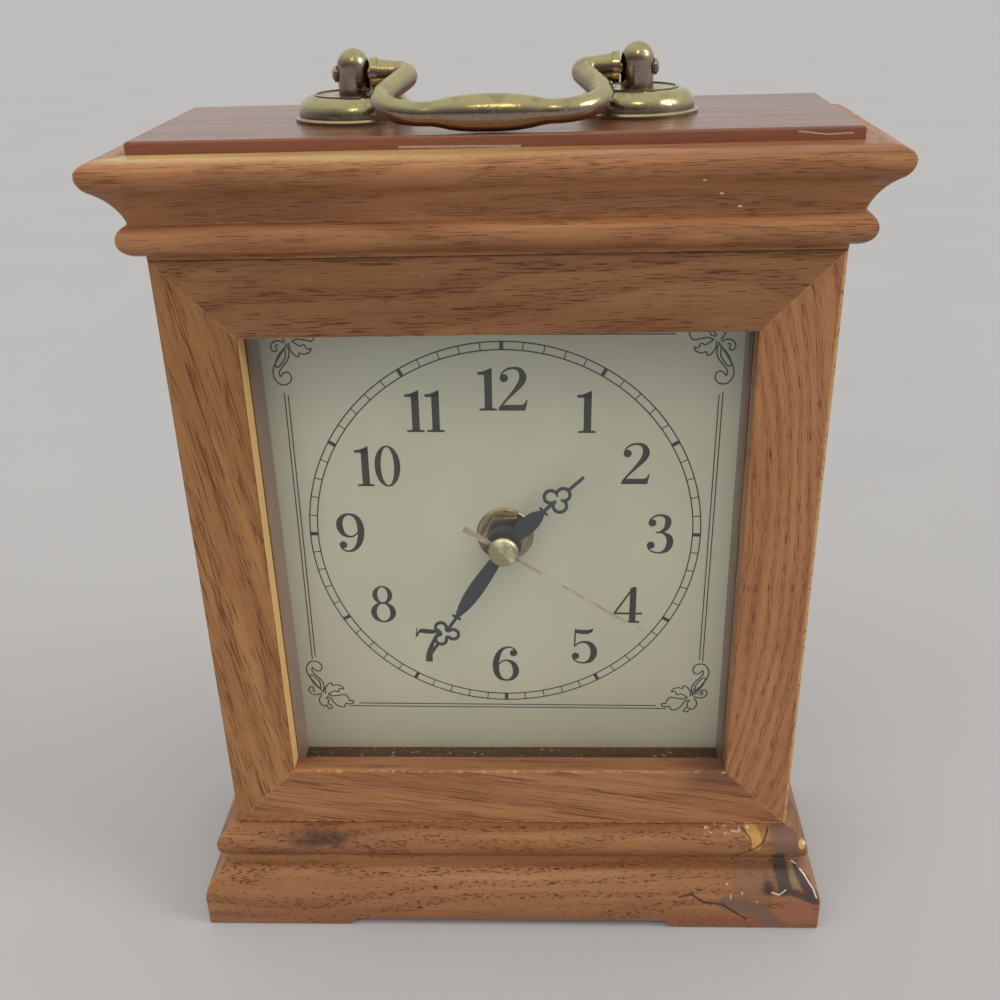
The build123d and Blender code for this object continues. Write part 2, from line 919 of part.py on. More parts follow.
def handle_post():
    """A domed post with a cross bore for the bail and a stud that goes through the top."""
    dome_radius = post_diameter / 2
    foot = rosette_height - rosette_recess
    neck_top = pivot_height + post_dome_rise
    post = rod_z(dome_radius, foot, neck_top) + Pos(0, 0, neck_top) * Sphere(dome_radius)
    post -= rod_x(journal_radius + running_play, -post_diameter, post_diameter, 0, pivot_height)
    return post + rod_z(stud_diameter / 2, foot - stud_length, foot)


def handle_mounts():
    pieces = {}
    washers = []
    nuts = []
    for name, side in (("left", -1), ("right", 1)):
        place = Pos(side * post_spacing / 2, post_y, board_top)
        pieces["handle_rosette_" + name] = place * rosette()
        pieces["handle_post_" + name] = place * handle_post()
        under = Pos(side * post_spacing / 2, post_y, case_top)
        hole = rod_z(
            stud_diameter / 2 + screw_play,
            -handle_washer_thickness - handle_nut_thickness,
            0,
        )
        washer = rod_z(handle_washer_diameter / 2, -handle_washer_thickness, 0) - hole
        nut_low = -handle_washer_thickness - handle_nut_thickness
        nut_outline = RegularPolygon(handle_nut_flats / 2, 6, major_radius=False)
        nut = Pos(0, 0, nut_low) * extrude(nut_outline, amount=handle_nut_thickness) - hole
        washers.append(under * washer)
        nuts.append(under * nut)
    pieces["handle_washers"] = Compound(washers)
    pieces["handle_nuts"] = Compound(nuts)
    return pieces


def bail_path_lean():
    """How far the straight part of an arm leans outwards, and where its two bends end."""
    neck_x = bail_neck_start()
    between_x = neck_x - shoulder_x
    between_s = bail_reach - shoulder_bend_radius - neck_bend_radius
    span_length = math.hypot(between_x, between_s)
    crossing = math.asin((neck_bend_radius + shoulder_bend_radius) / span_length)
    return crossing - math.atan2(between_x, between_s)


def bail_neck_start():
    """Where an arm leaves the pivot line, measured from the clock's middle."""
    inner_face = post_spacing / 2 - post_diameter / 2
    return inner_face - collar_gap - collar_length - cone_length


def bail():
    """The right half is swept and turned flat on the XY plane, and is then mirrored."""
    lean = bail_path_lean()
    neck_x = bail_neck_start()
    neck_centre = (neck_x, neck_bend_radius)
    shoulder_centre = (shoulder_x, bail_reach - shoulder_bend_radius)
    neck_side = (neck_x - neck_bend_radius, neck_bend_radius)
    neck_end = (
        neck_centre[0] - neck_bend_radius * math.cos(lean),
        neck_centre[1] + neck_bend_radius * math.sin(lean),
    )
    shoulder_start = (
        shoulder_centre[0] + shoulder_bend_radius * math.cos(lean),
        shoulder_centre[1] - shoulder_bend_radius * math.sin(lean),
    )
    shoulder_side = (shoulder_x + shoulder_bend_radius, shoulder_centre[1])
    path = Wire(
        [
            ThreePointArc((neck_x, 0), neck_side, neck_end),
            Line(neck_end, shoulder_start),
            ThreePointArc(shoulder_start, shoulder_side, (shoulder_x, bail_reach)),
        ]
    )
    section = Plane(origin=(neck_x, 0, 0), z_dir=(-1, 0, 0)) * Circle(arm_radius)
    arm = sweep(section, path=path)
    cone_end = neck_x + cone_length
    collar_end = cone_end + collar_length
    journal_end = post_spacing / 2 + post_diameter / 2 + nub_gap
    pivot_outline = [
        (0, neck_x),
        (arm_radius, neck_x),
        (cone_radius, cone_end),
        (collar_radius, cone_end),
        (collar_radius, collar_end),
        (journal_radius, collar_end),
        (journal_radius, journal_end),
        (nub_radius, journal_end),
        (nub_radius, journal_end + nub_length / 2),
        (nub_radius * nub_end_share, journal_end + nub_length),
        (0, journal_end + nub_length),
    ]
    pivot_end = Rot(0, quarter_turn, 0) * turned(pivot_outline)
    grip_lines = [
        Line((0, 0), (0, shoulder_x)),
        Line((0, shoulder_x), (arm_radius, shoulder_x)),
        Spline(
            (grip_radius, 0),
            (grip_taper[1], grip_taper[0]),
            (arm_radius, shoulder_x),
            tangents=[(0, 1), (0, 1)],
        ),
        Line((0, 0), (grip_radius, 0)),
    ]
    grip = revolve(Plane.XZ * make_face(grip_lines), axis=Axis.Z)
    grip = Pos(0, bail_reach, 0) * Rot(0, quarter_turn, 0) * grip
    half = arm + pivot_end + grip
    whole = half + mirrored(half)
    droop = math.asin((pivot_height - grip_radius - grip_rest_gap) / bail_reach)
    laid = Rot(math.degrees(droop), 0, 0) * Rot(0, 0, half_turn) * whole
    return Pos(0, post_y, board_top + pivot_height) * laid


# Back door, its hinges and its catch

def door_levels():
    low = base_height + bottom_board_thickness + door_gap
    high = case_top - back_rail_height - door_gap
    back = case_depth - door_inset
    return low, high, back - door_thickness, back


def hinge_axis():
    """Where the door's hinge pins stand: across the clock and from its front."""
    back = door_levels()[3]
    return (
        -inner_half + hinge_clear + hinge_barrel_radius + hinge_leaf_thickness,
        back + hinge_clear + hinge_barrel_radius,
    )


def hinge_heights():
    low, high = door_levels()[:2]
    inset = (high - low) * hinge_level_share
    return [low + inset, high - inset]


def knuckle_spans(z):
    """The lower, middle and upper stretches of a hinge's barrel."""
    third = hinge_height / 3
    low = z - hinge_height / 2
    gap = hinge_knuckle_gap / 2
    return [
        (low, low + third - gap),
        (low + third + gap, low + 2 * third - gap),
        (low + 2 * third + gap, low + hinge_height),
    ]


def leaf_screw_heights(z):
    return [z - hinge_screw_spacing / 2, z + hinge_screw_spacing / 2]


def door_screw_x():
    return hinge_axis()[0] + hinge_leaf_width * leaf_screw_share


def side_screw_y():
    """Depth of the screws that hold the narrow leaves to the side panel."""
    return (door_levels()[3] + case_depth) / 2


def small_screw(make=screw):
    return make(small_screw_shank, small_screw_head, small_screw_head_height, small_screw_length)


def hinge_screws(make):
    """The screws, or their holes, in the door leaves and in the side leaves."""
    back = door_levels()[3]
    into_door = Rot(-quarter_turn, 0, 0) * small_screw(make)
    into_side = Rot(0, quarter_turn, 0) * small_screw(make)
    on_door = []
    on_side = []
    for z in hinge_heights():
        for screw_z in leaf_screw_heights(z):
            on_door.append(Pos(door_screw_x(), back + hinge_leaf_thickness, screw_z) * into_door)
            on_side.append(
                Pos(-inner_half + hinge_leaf_thickness, side_screw_y(), screw_z) * into_side
            )
    return on_door, on_side


def hinges():
    x, y = hinge_axis()
    back = door_levels()[3]
    door_holes, side_holes = hinge_screws(screw_hole)
    door_leaves = []
    side_leaves = []
    pins = []
    for z in hinge_heights():
        low, high = z - hinge_height / 2, z + hinge_height / 2
        lower, middle, upper = knuckle_spans(z)
        bore = rod_z(hinge_pin_radius + running_play, low, high, x, y)
        barrel = rod_z(hinge_barrel_radius, *middle, x, y)
        tongue = span(
            (x, x + hinge_leaf_width), (back, back + hinge_leaf_thickness), middle
        )
        plate_left = x + hinge_barrel_radius + hinge_clear
        plate = span(
            (plate_left, x + hinge_leaf_width), (back, back + hinge_leaf_thickness), (low, high)
        )
        door_leaves.append((barrel + tongue + plate - bore).cut(*door_holes))
        side_plate = span(
            (-inner_half, -inner_half + hinge_leaf_thickness),
            (back + hinge_clear, case_depth - joint_gap),
            (low, high),
        )
        leaf = side_plate
        for stretch in (lower, upper):
            web = span(
                (-inner_half, x),
                (y + hinge_barrel_radius - hinge_leaf_thickness, y + hinge_barrel_radius),
                stretch,
            )
            leaf += web + rod_z(hinge_barrel_radius, *stretch, x, y)
        pin_bore = rod_z(hinge_pin_radius, low, high, x, y)
        side_leaves.append((leaf - pin_bore).cut(*side_holes))
        pins.append(rod_z(hinge_pin_radius, low, high, x, y))
    return door_leaves, side_leaves, pins


def door_pull():
    """A small turned knob with a stud through the door."""
    head_foot = pull_base_height + pull_neck_height
    head = rod_z(pull_diameter / 2, head_foot, pull_height)
    head = chamfer(head.edges().filter_by(GeomType.CIRCLE), length=pull_bevel)
    foot = rod_z(pull_diameter / 2, 0, pull_base_height)
    neck = rod_z(pull_neck_diameter / 2, pull_base_height, head_foot)
    stud = rod_z(pull_stud_diameter / 2, -door_thickness, 0)
    pull = foot + neck + head + stud
    low, high, _, back = door_levels()
    return Pos(inner_half - pull_edge, back, (low + high) / 2) * Rot(-quarter_turn, 0, 0) * pull


def back_door():
    low, high, front, back = door_levels()
    panel = span((-inner_half + door_gap, inner_half - door_gap), (front, back), (low, high))
    middle = (low + high) / 2
    stud = rod_y(pull_stud_diameter / 2, front, back, inner_half - pull_edge, middle)
    door_holes, _ = hinge_screws(screw_hole)
    plate_x = catch_plate_range()
    plate = span(
        plate_x,
        (front - catch_plate_thickness, front),
        (middle + catch_rise - magnet_length / 2, middle + catch_rise + magnet_length / 2),
    )
    return panel.cut(stud, *door_holes), plate


def catch_plate_range():
    right = inner_half - catch_clear
    return (right - catch_width + catch_clear, right)


def door_catch():
    """The catch's wooden block on the side panel, with a magnet let into its back."""
    low, high, front, _ = door_levels()
    middle = (low + high) / 2 + catch_rise
    back = front - catch_plate_thickness - catch_gap
    block = span(
        (inner_half - catch_width, inner_half),
        (back - catch_depth, back),
        (middle - catch_length / 2, middle + catch_length / 2),
    )
    left, right = catch_plate_range()
    magnet = span(
        (left, right),
        (back - magnet_depth, back),
        (middle - magnet_length / 2, middle + magnet_length / 2),
    )
    return block - magnet, magnet


def main():
    pieces = {}
    pieces.update(front_frame())
    pieces.update(crown())
    pieces.update(base())
    pieces.update(carcase())
    pieces.update(glazing())
    pieces.update(dial())
    pieces.update(movement())
    pieces.update(bush_and_nut())
    pieces.update(hands())
    pieces.update(handle_mounts())
    pieces["top_board"] = top_board()
    pieces["set_knob"] = set_knob()
    pieces["bail"] = bail()

    battery, contacts = battery_set()
    pieces["battery"] = battery
    pieces["battery_contacts"] = Compound(contacts)

    # The plinth's blocks are screwed up into the bottom rail and the bottom board.
    holes = block_screws(screw_hole)
    blocks = [block.cut(hole) for block, hole in zip(plinth_blocks(), holes)]
    pieces["plinth_blocks"] = Compound(blocks)
    pieces["plinth_screws"] = Compound(block_screws(screw))
    pieces["front_rail_bottom"] = pieces["front_rail_bottom"].cut(*holes[:2])
    pieces["bottom_board"] = pieces["bottom_board"].cut(*holes[2:])

    # The cleats that hold the dial are screwed to the side panels.
    pieces.update(cleats())
    holes = cleat_screws(screw_hole)
    screws = cleat_screws(screw)
    for name, turn in (("left", lambda shape: shape), ("right", mirrored)):
        for node in ("dial_cleat_" + name, "side_panel_" + name):
            pieces[node] = pieces[node].cut(*[turn(hole) for hole in holes])
    pieces["cleat_screws"] = Compound(screws + [mirrored(piece) for piece in screws])

    door_leaves, side_leaves, pins = hinges()
    on_door, on_side = hinge_screws(screw)
    side_holes = hinge_screws(screw_hole)[1]
    pieces["door_hinge_leaves"] = Compound(door_leaves)
    pieces["case_hinge_leaves"] = Compound(side_leaves)
    pieces["hinge_pins"] = Compound(pins)
    pieces["door_hinge_screws"] = Compound(on_door)
    pieces["case_hinge_screws"] = Compound(on_side)
    pieces["side_panel_left"] = pieces["side_panel_left"].cut(*side_holes)
    pieces["back_door"], pieces["catch_plate"] = back_door()
    pieces["door_pull"] = door_pull()
    pieces["catch_block"], pieces["catch_magnet"] = door_catch()

    for node, shape in pieces.items():
        write(node, shape)
    print(len(pieces), "pieces written")


main()
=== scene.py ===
import json
import math

import bmesh
import bpy
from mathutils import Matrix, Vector


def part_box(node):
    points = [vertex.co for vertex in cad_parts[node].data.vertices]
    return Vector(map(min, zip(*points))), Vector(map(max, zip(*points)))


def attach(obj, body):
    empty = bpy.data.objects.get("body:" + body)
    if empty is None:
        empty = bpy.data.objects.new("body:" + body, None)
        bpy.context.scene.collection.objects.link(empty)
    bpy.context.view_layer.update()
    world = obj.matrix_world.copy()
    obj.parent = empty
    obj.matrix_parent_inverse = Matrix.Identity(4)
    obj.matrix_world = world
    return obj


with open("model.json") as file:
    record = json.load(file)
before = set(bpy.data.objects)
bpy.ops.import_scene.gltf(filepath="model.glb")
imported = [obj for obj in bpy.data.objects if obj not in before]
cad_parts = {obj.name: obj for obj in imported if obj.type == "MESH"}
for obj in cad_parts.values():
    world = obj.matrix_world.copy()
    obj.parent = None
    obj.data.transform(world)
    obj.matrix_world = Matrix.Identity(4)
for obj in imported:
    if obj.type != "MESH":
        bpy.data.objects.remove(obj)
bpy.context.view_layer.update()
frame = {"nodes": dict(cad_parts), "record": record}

# A wooden desk clock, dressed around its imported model. Sizes are in metres unless a name
# ends in _mm, and MM turns millimetres into metres.

MM = 0.001

# Camera, fitted to the photograph's 1000 by 1000 frame, with its turn in degrees
camera_place = (0.017108, -0.35143, 0.28592)
camera_turn = (59.951, 1.505, 2.387)
camera_lens = 45.0
camera_shift_up = 0.15016
camera_clip_start = 0.01

# Stage: the floor, the room's light from its dim to its bright side, and the lamps
floor_half = 40.0
floor_tones = ((0.50, 0.50, 0.51), (0.46, 0.46, 0.47))
floor_clouds_per_metre = 6.0
room_bright_side = (0.25, 0.6, 0.75)
room_fade = 0.6
room_dim = (0.13, 0.113, 0.110, 1.0)
room_bright = (0.68, 0.668, 0.645, 1.0)
lamps = {
    "room": {
        "source": (-0.25, -0.9, 0.85), "strength": 1.3, "spread": 80.0,
        "colour": (1.0, 0.985, 0.955), "mirrored": False,
    },
    "window": {"source": (0.95, -0.28, 0.62), "strength": 0.8, "spread": 28.0, "colour": (0.97, 0.98, 1.0)},
    "bulb": {"source": (0.0, -0.8, 0.9), "strength": 0.2, "spread": 9.0, "colour": (1.0, 0.70, 0.38)},
}

# Dial print, in millimetres from the dial's middle, turned by some degrees and shifted
print_turn = 0.6
print_shift_mm = -0.28
print_lift_mm = 0.034
ring_outer_mm = 59.37
ring_inner_mm = 57.01
ring_line_mm = 0.4
ring_corners = 240
minute_tick_mm = 0.33
hour_tick_mm = 1.15
minutes_per_turn = 60
hours_per_turn = 12
numeral_height_mm = 12.75
numeral_places_mm = {
    1: (24.3, 38.7), 2: (39.1, 22.8), 3: (47.2, 0.2), 4: (38.5, -24.1),
    5: (24.9, -39.0), 6: (0.0, -45.8), 7: (-24.6, -39.2), 8: (-38.6, -24.3),
    9: (-47.1, 0.3), 10: (-37.3, 22.0), 11: (-22.6, 39.0), 12: (0.2, 45.5),
}
# Border lines, each as its distance from the middle and half its length
border_line_mm = 0.36
border_uprights_mm = ((62.92, 44.6), (61.85, 43.8))
border_levels_mm = ((62.4, 52.15), (61.3, 48.8))
ornament_line_mm = 0.44
ornament_scale = 0.935
ornament_foot_mm = (60.05, 58.55)
ornament_top_mm = (60.4, 60.1)

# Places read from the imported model
spin = next(joint for joint in frame["record"]["behaviour"]["joints"] if joint["name"] == "minute_spin")
dial_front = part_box("dial_plate")[0].y
dial_middle = Vector((0.0, dial_front, spin["pos_m"][2]))


# Lines and polygons

def smooth_line(knots, steps=8):
    """Points along a Catmull-Rom curve through knots of any number of values each."""
    last = len(knots) - 1
    points = []
    for span in range(last):
        four = [knots[min(max(span + k, 0), last)] for k in (-1, 0, 1, 2)]
        for step in range(steps):
            t = step / steps
            points.append(
                tuple(
                    0.5 * (2 * b + (c - a) * t + (2 * a - 5 * b + 4 * c - d) * t * t
                           + (3 * b - a - 3 * c + d) * t ** 3)
                    for a, b, c, d in zip(*four)
                )
            )
    points.append(tuple(knots[-1]))
    return points


def ribbon(points, closed=False):
    """A line given as (x, z, width) points, as a strip of four-cornered polygons."""
    count = len(points)
    left, right = [], []
    for i, (x, z, width) in enumerate(points):
        before = points[(i - 1) % count] if closed else points[max(i - 1, 0)]
        after = points[(i + 1) % count] if closed else points[min(i + 1, count - 1)]
        along = Vector((after[0] - before[0], after[1] - before[1])).normalized()
        left.append((x - along.y * width / 2, z + along.x * width / 2))
        right.append((x + along.y * width / 2, z - along.x * width / 2))
    return [
        [left[i], left[(i + 1) % count], right[(i + 1) % count], right[i]]
        for i in range(count if closed else count - 1)
    ]


def disc(x, z, radius, corners=28):
    """A round dot, as one polygon."""
    turns = [2 * math.pi * i / corners for i in range(corners)]
    return [[(x + radius * math.cos(a), z + radius * math.sin(a)) for a in turns]]


def place(polygons, x=0.0, z=0.0, scale=1.0, flip_x=1, flip_z=1):
    """The polygons, scaled, flipped and moved."""
    return [
        [(x + px * scale * flip_x, z + pz * scale * flip_z) for px, pz in polygon]
        for polygon in polygons
    ]


# Numerals of an old-style serif cut, one unit high, with balls of one radius at their strokes' ends

ball = 0.094
stroke_weight = 1.12
digit_gap = 0.03
digit_middle = 0.5


def stroke(points):
    """A numeral's line, a little bolder than its points say."""
    return ribbon([(x, z, width * stroke_weight) for x, z, width in points])


def digit_one():
    stem = stroke([(0.025, 0.02, 0.155), (0.025, 0.93, 0.155)])
    flag = [[(0.112, 1.0), (-0.062, 0.915), (-0.215, 0.895), (-0.21, 0.835), (-0.062, 0.83),
             (0.112, 0.8)]]
    foot = [[(-0.185, 0.0), (0.215, 0.0), (0.215, 0.045), (0.125, 0.06), (-0.08, 0.06),
             (-0.185, 0.045)]]
    return stem + flag + foot


def digit_two():
    neck = smooth_line(
        [(-0.275, 0.76, 0.03), (-0.235, 0.875, 0.035), (-0.12, 0.96, 0.045), (0.03, 0.985, 0.05),
         (0.165, 0.93, 0.1), (0.225, 0.79, 0.145), (0.18, 0.64, 0.13), (0.04, 0.46, 0.085),
         (-0.13, 0.27, 0.05), (-0.27, 0.1, 0.045), (-0.31, 0.02, 0.04)]
    )
    foot = [[(-0.33, 0.0), (0.28, 0.0), (0.335, 0.25), (0.3, 0.25), (0.265, 0.175), (0.21, 0.135),
             (-0.2, 0.135), (-0.33, 0.03)]]
    return stroke(neck) + disc(-0.2, 0.755, ball) + foot


def digit_three():
    upper = smooth_line(
        [(-0.265, 0.8, 0.03), (-0.22, 0.9, 0.035), (-0.1, 0.975, 0.045), (0.04, 0.982, 0.055),
         (0.155, 0.91, 0.11), (0.18, 0.78, 0.135), (0.13, 0.64, 0.1), (0.0, 0.555, 0.045),
         (-0.1, 0.54, 0.035)]
    )
    lower = smooth_line(
        [(-0.02, 0.55, 0.035), (0.1, 0.52, 0.06), (0.215, 0.42, 0.125), (0.245, 0.28, 0.145),
         (0.19, 0.11, 0.12), (0.05, 0.018, 0.05), (-0.1, 0.02, 0.04), (-0.22, 0.08, 0.035),
         (-0.285, 0.19, 0.03)]
    )
    return stroke(upper) + stroke(lower) + disc(-0.19, 0.79, ball) + disc(-0.205, 0.21, ball)


def digit_four():
    stem = stroke([(0.11, 0.02, 0.14), (0.11, 0.97, 0.14)])
    peak = [[(0.04, 0.92), (0.18, 0.97), (0.18, 1.0), (0.12, 1.0)]]
    slope = stroke([(0.115, 0.985, 0.045), (-0.335, 0.265, 0.045)])
    bar = stroke([(-0.355, 0.262, 0.05), (0.35, 0.262, 0.05)])
    foot = [[(-0.07, 0.0), (0.29, 0.0), (0.29, 0.045), (0.2, 0.06), (0.02, 0.06), (-0.07, 0.045)]]
    return stem + peak + slope + bar + foot


def digit_five():
    flag = [[(-0.225, 0.985), (-0.1, 0.96), (0.1, 0.96), (0.235, 1.0), (0.2, 0.9), (0.11, 0.845),
             (-0.04, 0.835), (-0.19, 0.865)]]
    back = stroke([(-0.215, 0.97, 0.035), (-0.235, 0.475, 0.035)])
    bowl = smooth_line(
        [(-0.235, 0.49, 0.03), (-0.13, 0.58, 0.04), (0.0, 0.615, 0.055), (0.15, 0.56, 0.105),
         (0.24, 0.42, 0.14), (0.245, 0.26, 0.145), (0.18, 0.1, 0.11), (0.04, 0.018, 0.05),
         (-0.1, 0.02, 0.04), (-0.22, 0.08, 0.035), (-0.285, 0.19, 0.03)]
    )
    return flag + back + stroke(bowl) + disc(-0.205, 0.21, ball)


def digit_six():
    body = smooth_line(
        [(0.265, 0.82, 0.03), (0.21, 0.93, 0.035), (0.08, 0.985, 0.04), (-0.08, 0.93, 0.075),
         (-0.2, 0.76, 0.12), (-0.26, 0.5, 0.145), (-0.235, 0.22, 0.13), (-0.13, 0.06, 0.08),
         (0.02, 0.016, 0.045), (0.15, 0.07, 0.09), (0.235, 0.2, 0.13), (0.24, 0.36, 0.14),
         (0.17, 0.52, 0.1), (0.04, 0.595, 0.05), (-0.08, 0.58, 0.04), (-0.2, 0.47, 0.03)]
    )
    return stroke(body) + disc(0.19, 0.815, ball)


def digit_seven():
    bar = [[(-0.3, 0.86), (-0.2, 0.985), (0.1, 0.955), (0.28, 0.99), (0.28, 0.93), (0.12, 0.84),
            (-0.06, 0.84), (-0.22, 0.87), (-0.3, 0.74), (-0.335, 0.74), (-0.305, 1.0), (-0.27, 1.0)]]
    leg = smooth_line(
        [(0.265, 0.97, 0.04), (0.18, 0.78, 0.055), (0.07, 0.52, 0.09), (0.0, 0.26, 0.14),
         (-0.02, 0.03, 0.16)]
    )
    return bar + stroke(leg)


def oval(x, z, half_width, half_height, side, top, corners=56):
    """A closed bowl, thick at its sides and thin at its top and foot."""
    quads = []
    for i in range(corners):
        a, b = (2 * math.pi * (i + k) / corners for k in (0, 1))
        outer = [(x + half_width * math.cos(t), z + half_height * math.sin(t)) for t in (a, b)]
        inner = [
            (x + (half_width - side) * math.cos(t), z + (half_height - top) * math.sin(t))
            for t in (b, a)
        ]
        quads.append(outer + inner)
    return quads


def digit_eight():
    return oval(0.0, 0.755, 0.245, 0.25, 0.12, 0.04) + oval(0.0, 0.27, 0.31, 0.285, 0.142, 0.045)


def digit_nine():
    return place(digit_six(), 0.0, 1.0, flip_x=-1, flip_z=-1)


def digit_zero():
    return oval(0.0, 0.5, 0.3, 0.51, 0.145, 0.042)


# Each digit from 0 to 9, and half its width
digits = [digit_zero, digit_one, digit_two, digit_three, digit_four,
          digit_five, digit_six, digit_seven, digit_eight, digit_nine]
digit_half_widths = [0.3, 0.215, 0.335, 0.33, 0.355, 0.32, 0.33, 0.33, 0.31, 0.33]


def numeral(number):
    """The polygons of a whole number, centred on its own middle."""
    places = [int(mark) for mark in str(number)]
    widths = [2 * digit_half_widths[digit] for digit in places]
    across = -(sum(widths) + digit_gap * (len(places) - 1)) / 2
    polygons = []
    for digit, width in zip(places, widths):
        polygons += place(digits[digit](), across + width / 2, -digit_middle)
        across += width + digit_gap
    return polygons


# The dial's printing

def ring_point(radius, turn, width):
    """A line's point on a circle round the dial's middle, a share of a turn clockwise from the top."""
    angle = 2 * math.pi * turn
    return (radius * math.sin(angle), radius * math.cos(angle), width)


def minute_ring():
    """Two circles with a tick at each minute, bold at the hours."""
    polygons = []
    for radius in (ring_outer_mm, ring_inner_mm):
        circle = [ring_point(radius, i / ring_corners, ring_line_mm) for i in range(ring_corners)]
        polygons += ribbon(circle, closed=True)
    for minute in range(minutes_per_turn):
        bold = minute % (minutes_per_turn // hours_per_turn) == 0
        width = hour_tick_mm if bold else minute_tick_mm
        turn = minute / minutes_per_turn
        polygons += ribbon([ring_point(radius, turn, width) for radius in (ring_inner_mm, ring_outer_mm)])
    return polygons


def borders():
    """Double lines inside the dial's edges."""
    polygons = []
    for side in (-1, 1):
        for across, reach in border_uprights_mm:
            polygons += ribbon([(side * across, end * reach, border_line_mm) for end in (-1, 1)])
        for up, reach in border_levels_mm:
            polygons += ribbon([(end * reach, side * up, border_line_mm) for end in (-1, 1)])
    return polygons


def ornament_lines():
    """A traditional scroll and leaf for the lower left corner, as open lines from its middle."""
    scroll = [
        (-0.2, 1.2), (-1.8, 3.4), (-3.6, 6.0), (-5.2, 8.8), (-5.4, 11.6), (-3.8, 13.8), (-1.4, 13.9),
        (0.0, 12.2), (-0.6, 10.3), (-2.2, 10.3), (-3.3, 11.6),
    ]
    scroll_inner = [
        (-3.3, 11.6), (-3.6, 10.2), (-2.6, 8.6), (-1.0, 6.8), (0.0, 4.6), (-0.2, 2.4), (-0.8, 1.6),
    ]
    bud = [(-1.2, 2.6), (-3.4, 5.0), (-4.5, 7.6), (-3.9, 8.6), (-2.4, 7.2), (-1.2, 5.2), (-1.2, 2.6)]
    curl = [
        (-1.0, 1.1), (-2.6, 0.4), (-4.4, 0.7), (-5.4, 2.2), (-4.8, 3.6), (-3.6, 3.3), (-3.9, 2.0),
        (-3.0, 1.6),
    ]
    leaf_up = [
        (0.3, 0.9), (0.5, 3.2), (1.8, 4.9), (2.9, 5.2), (3.1, 4.2), (4.6, 4.5), (6.2, 4.0), (6.9, 2.8),
        (5.6, 2.9), (4.9, 1.6), (3.6, 2.0), (2.2, 1.2), (1.2, 0.5),
    ]
    leaf_out = [
        (1.2, 0.5), (2.8, -0.1), (5.2, 0.2), (7.2, 0.5), (8.4, -0.9), (8.6, -2.0), (9.9, -2.0), (9.8, -3.1),
        (8.2, -3.4), (7.2, -3.2), (6.6, -4.6), (4.8, -4.4), (3.2, -3.0), (2.0, -0.9), (0.6, -0.6),
    ]
    leaf_down = [
        (-0.9, 0.5), (-2.0, -1.3), (-1.9, -3.0), (-0.8, -4.4), (0.2, -3.9), (1.0, -5.4), (2.2, -5.1),
        (1.9, -4.0), (0.9, -3.3), (1.3, -1.9), (0.3, -0.7),
    ]
    return [scroll, scroll_inner, bud, curl, leaf_up, leaf_out, leaf_down]


def ornaments():
    """The corner ornament in all four corners."""
    polygons = []
    for line in ornament_lines():
        strokes = ribbon(smooth_line([(x, z, ornament_line_mm / ornament_scale) for x, z in line], steps=5))
        for side in (-1, 1):
            for up, (across, level) in ((-1, ornament_foot_mm), (1, ornament_top_mm)):
                polygons += place(strokes, side * across, up * level, ornament_scale, -side, -up)
    return polygons


def numerals():
    """The hours from 1 to 12 round the dial."""
    polygons = []
    for hour, (across, up) in numeral_places_mm.items():
        polygons += place(numeral(hour), across, up, numeral_height_mm)
    return polygons


def print_piece(name, polygons, ink):
    """A piece of flat ink just in front of the dial, from polygons in millimetres."""
    turn = math.radians(print_turn)
    mesh = bpy.data.meshes.new(name)
    shape = bmesh.new()
    for polygon in polygons:
        corners = []
        for x, z in polygon:
            across = x * math.cos(turn) + z * math.sin(turn) + print_shift_mm
            up = z * math.cos(turn) - x * math.sin(turn)
            spot = (across * MM, dial_front - print_lift_mm * MM, dial_middle.z + up * MM)
            corners.append(shape.verts.new(spot))
        shape.faces.new(corners)
    shape.to_mesh(mesh)
    shape.free()
    mesh.materials.append(ink)
    piece = bpy.data.objects.new(name, mesh)
    bpy.context.collection.objects.link(piece)
    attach(piece, "case")


# Materials

# Sockets of a colour Mix node
mix_factor = 0
mix_first = 6
mix_second = 7
mix_result = 2


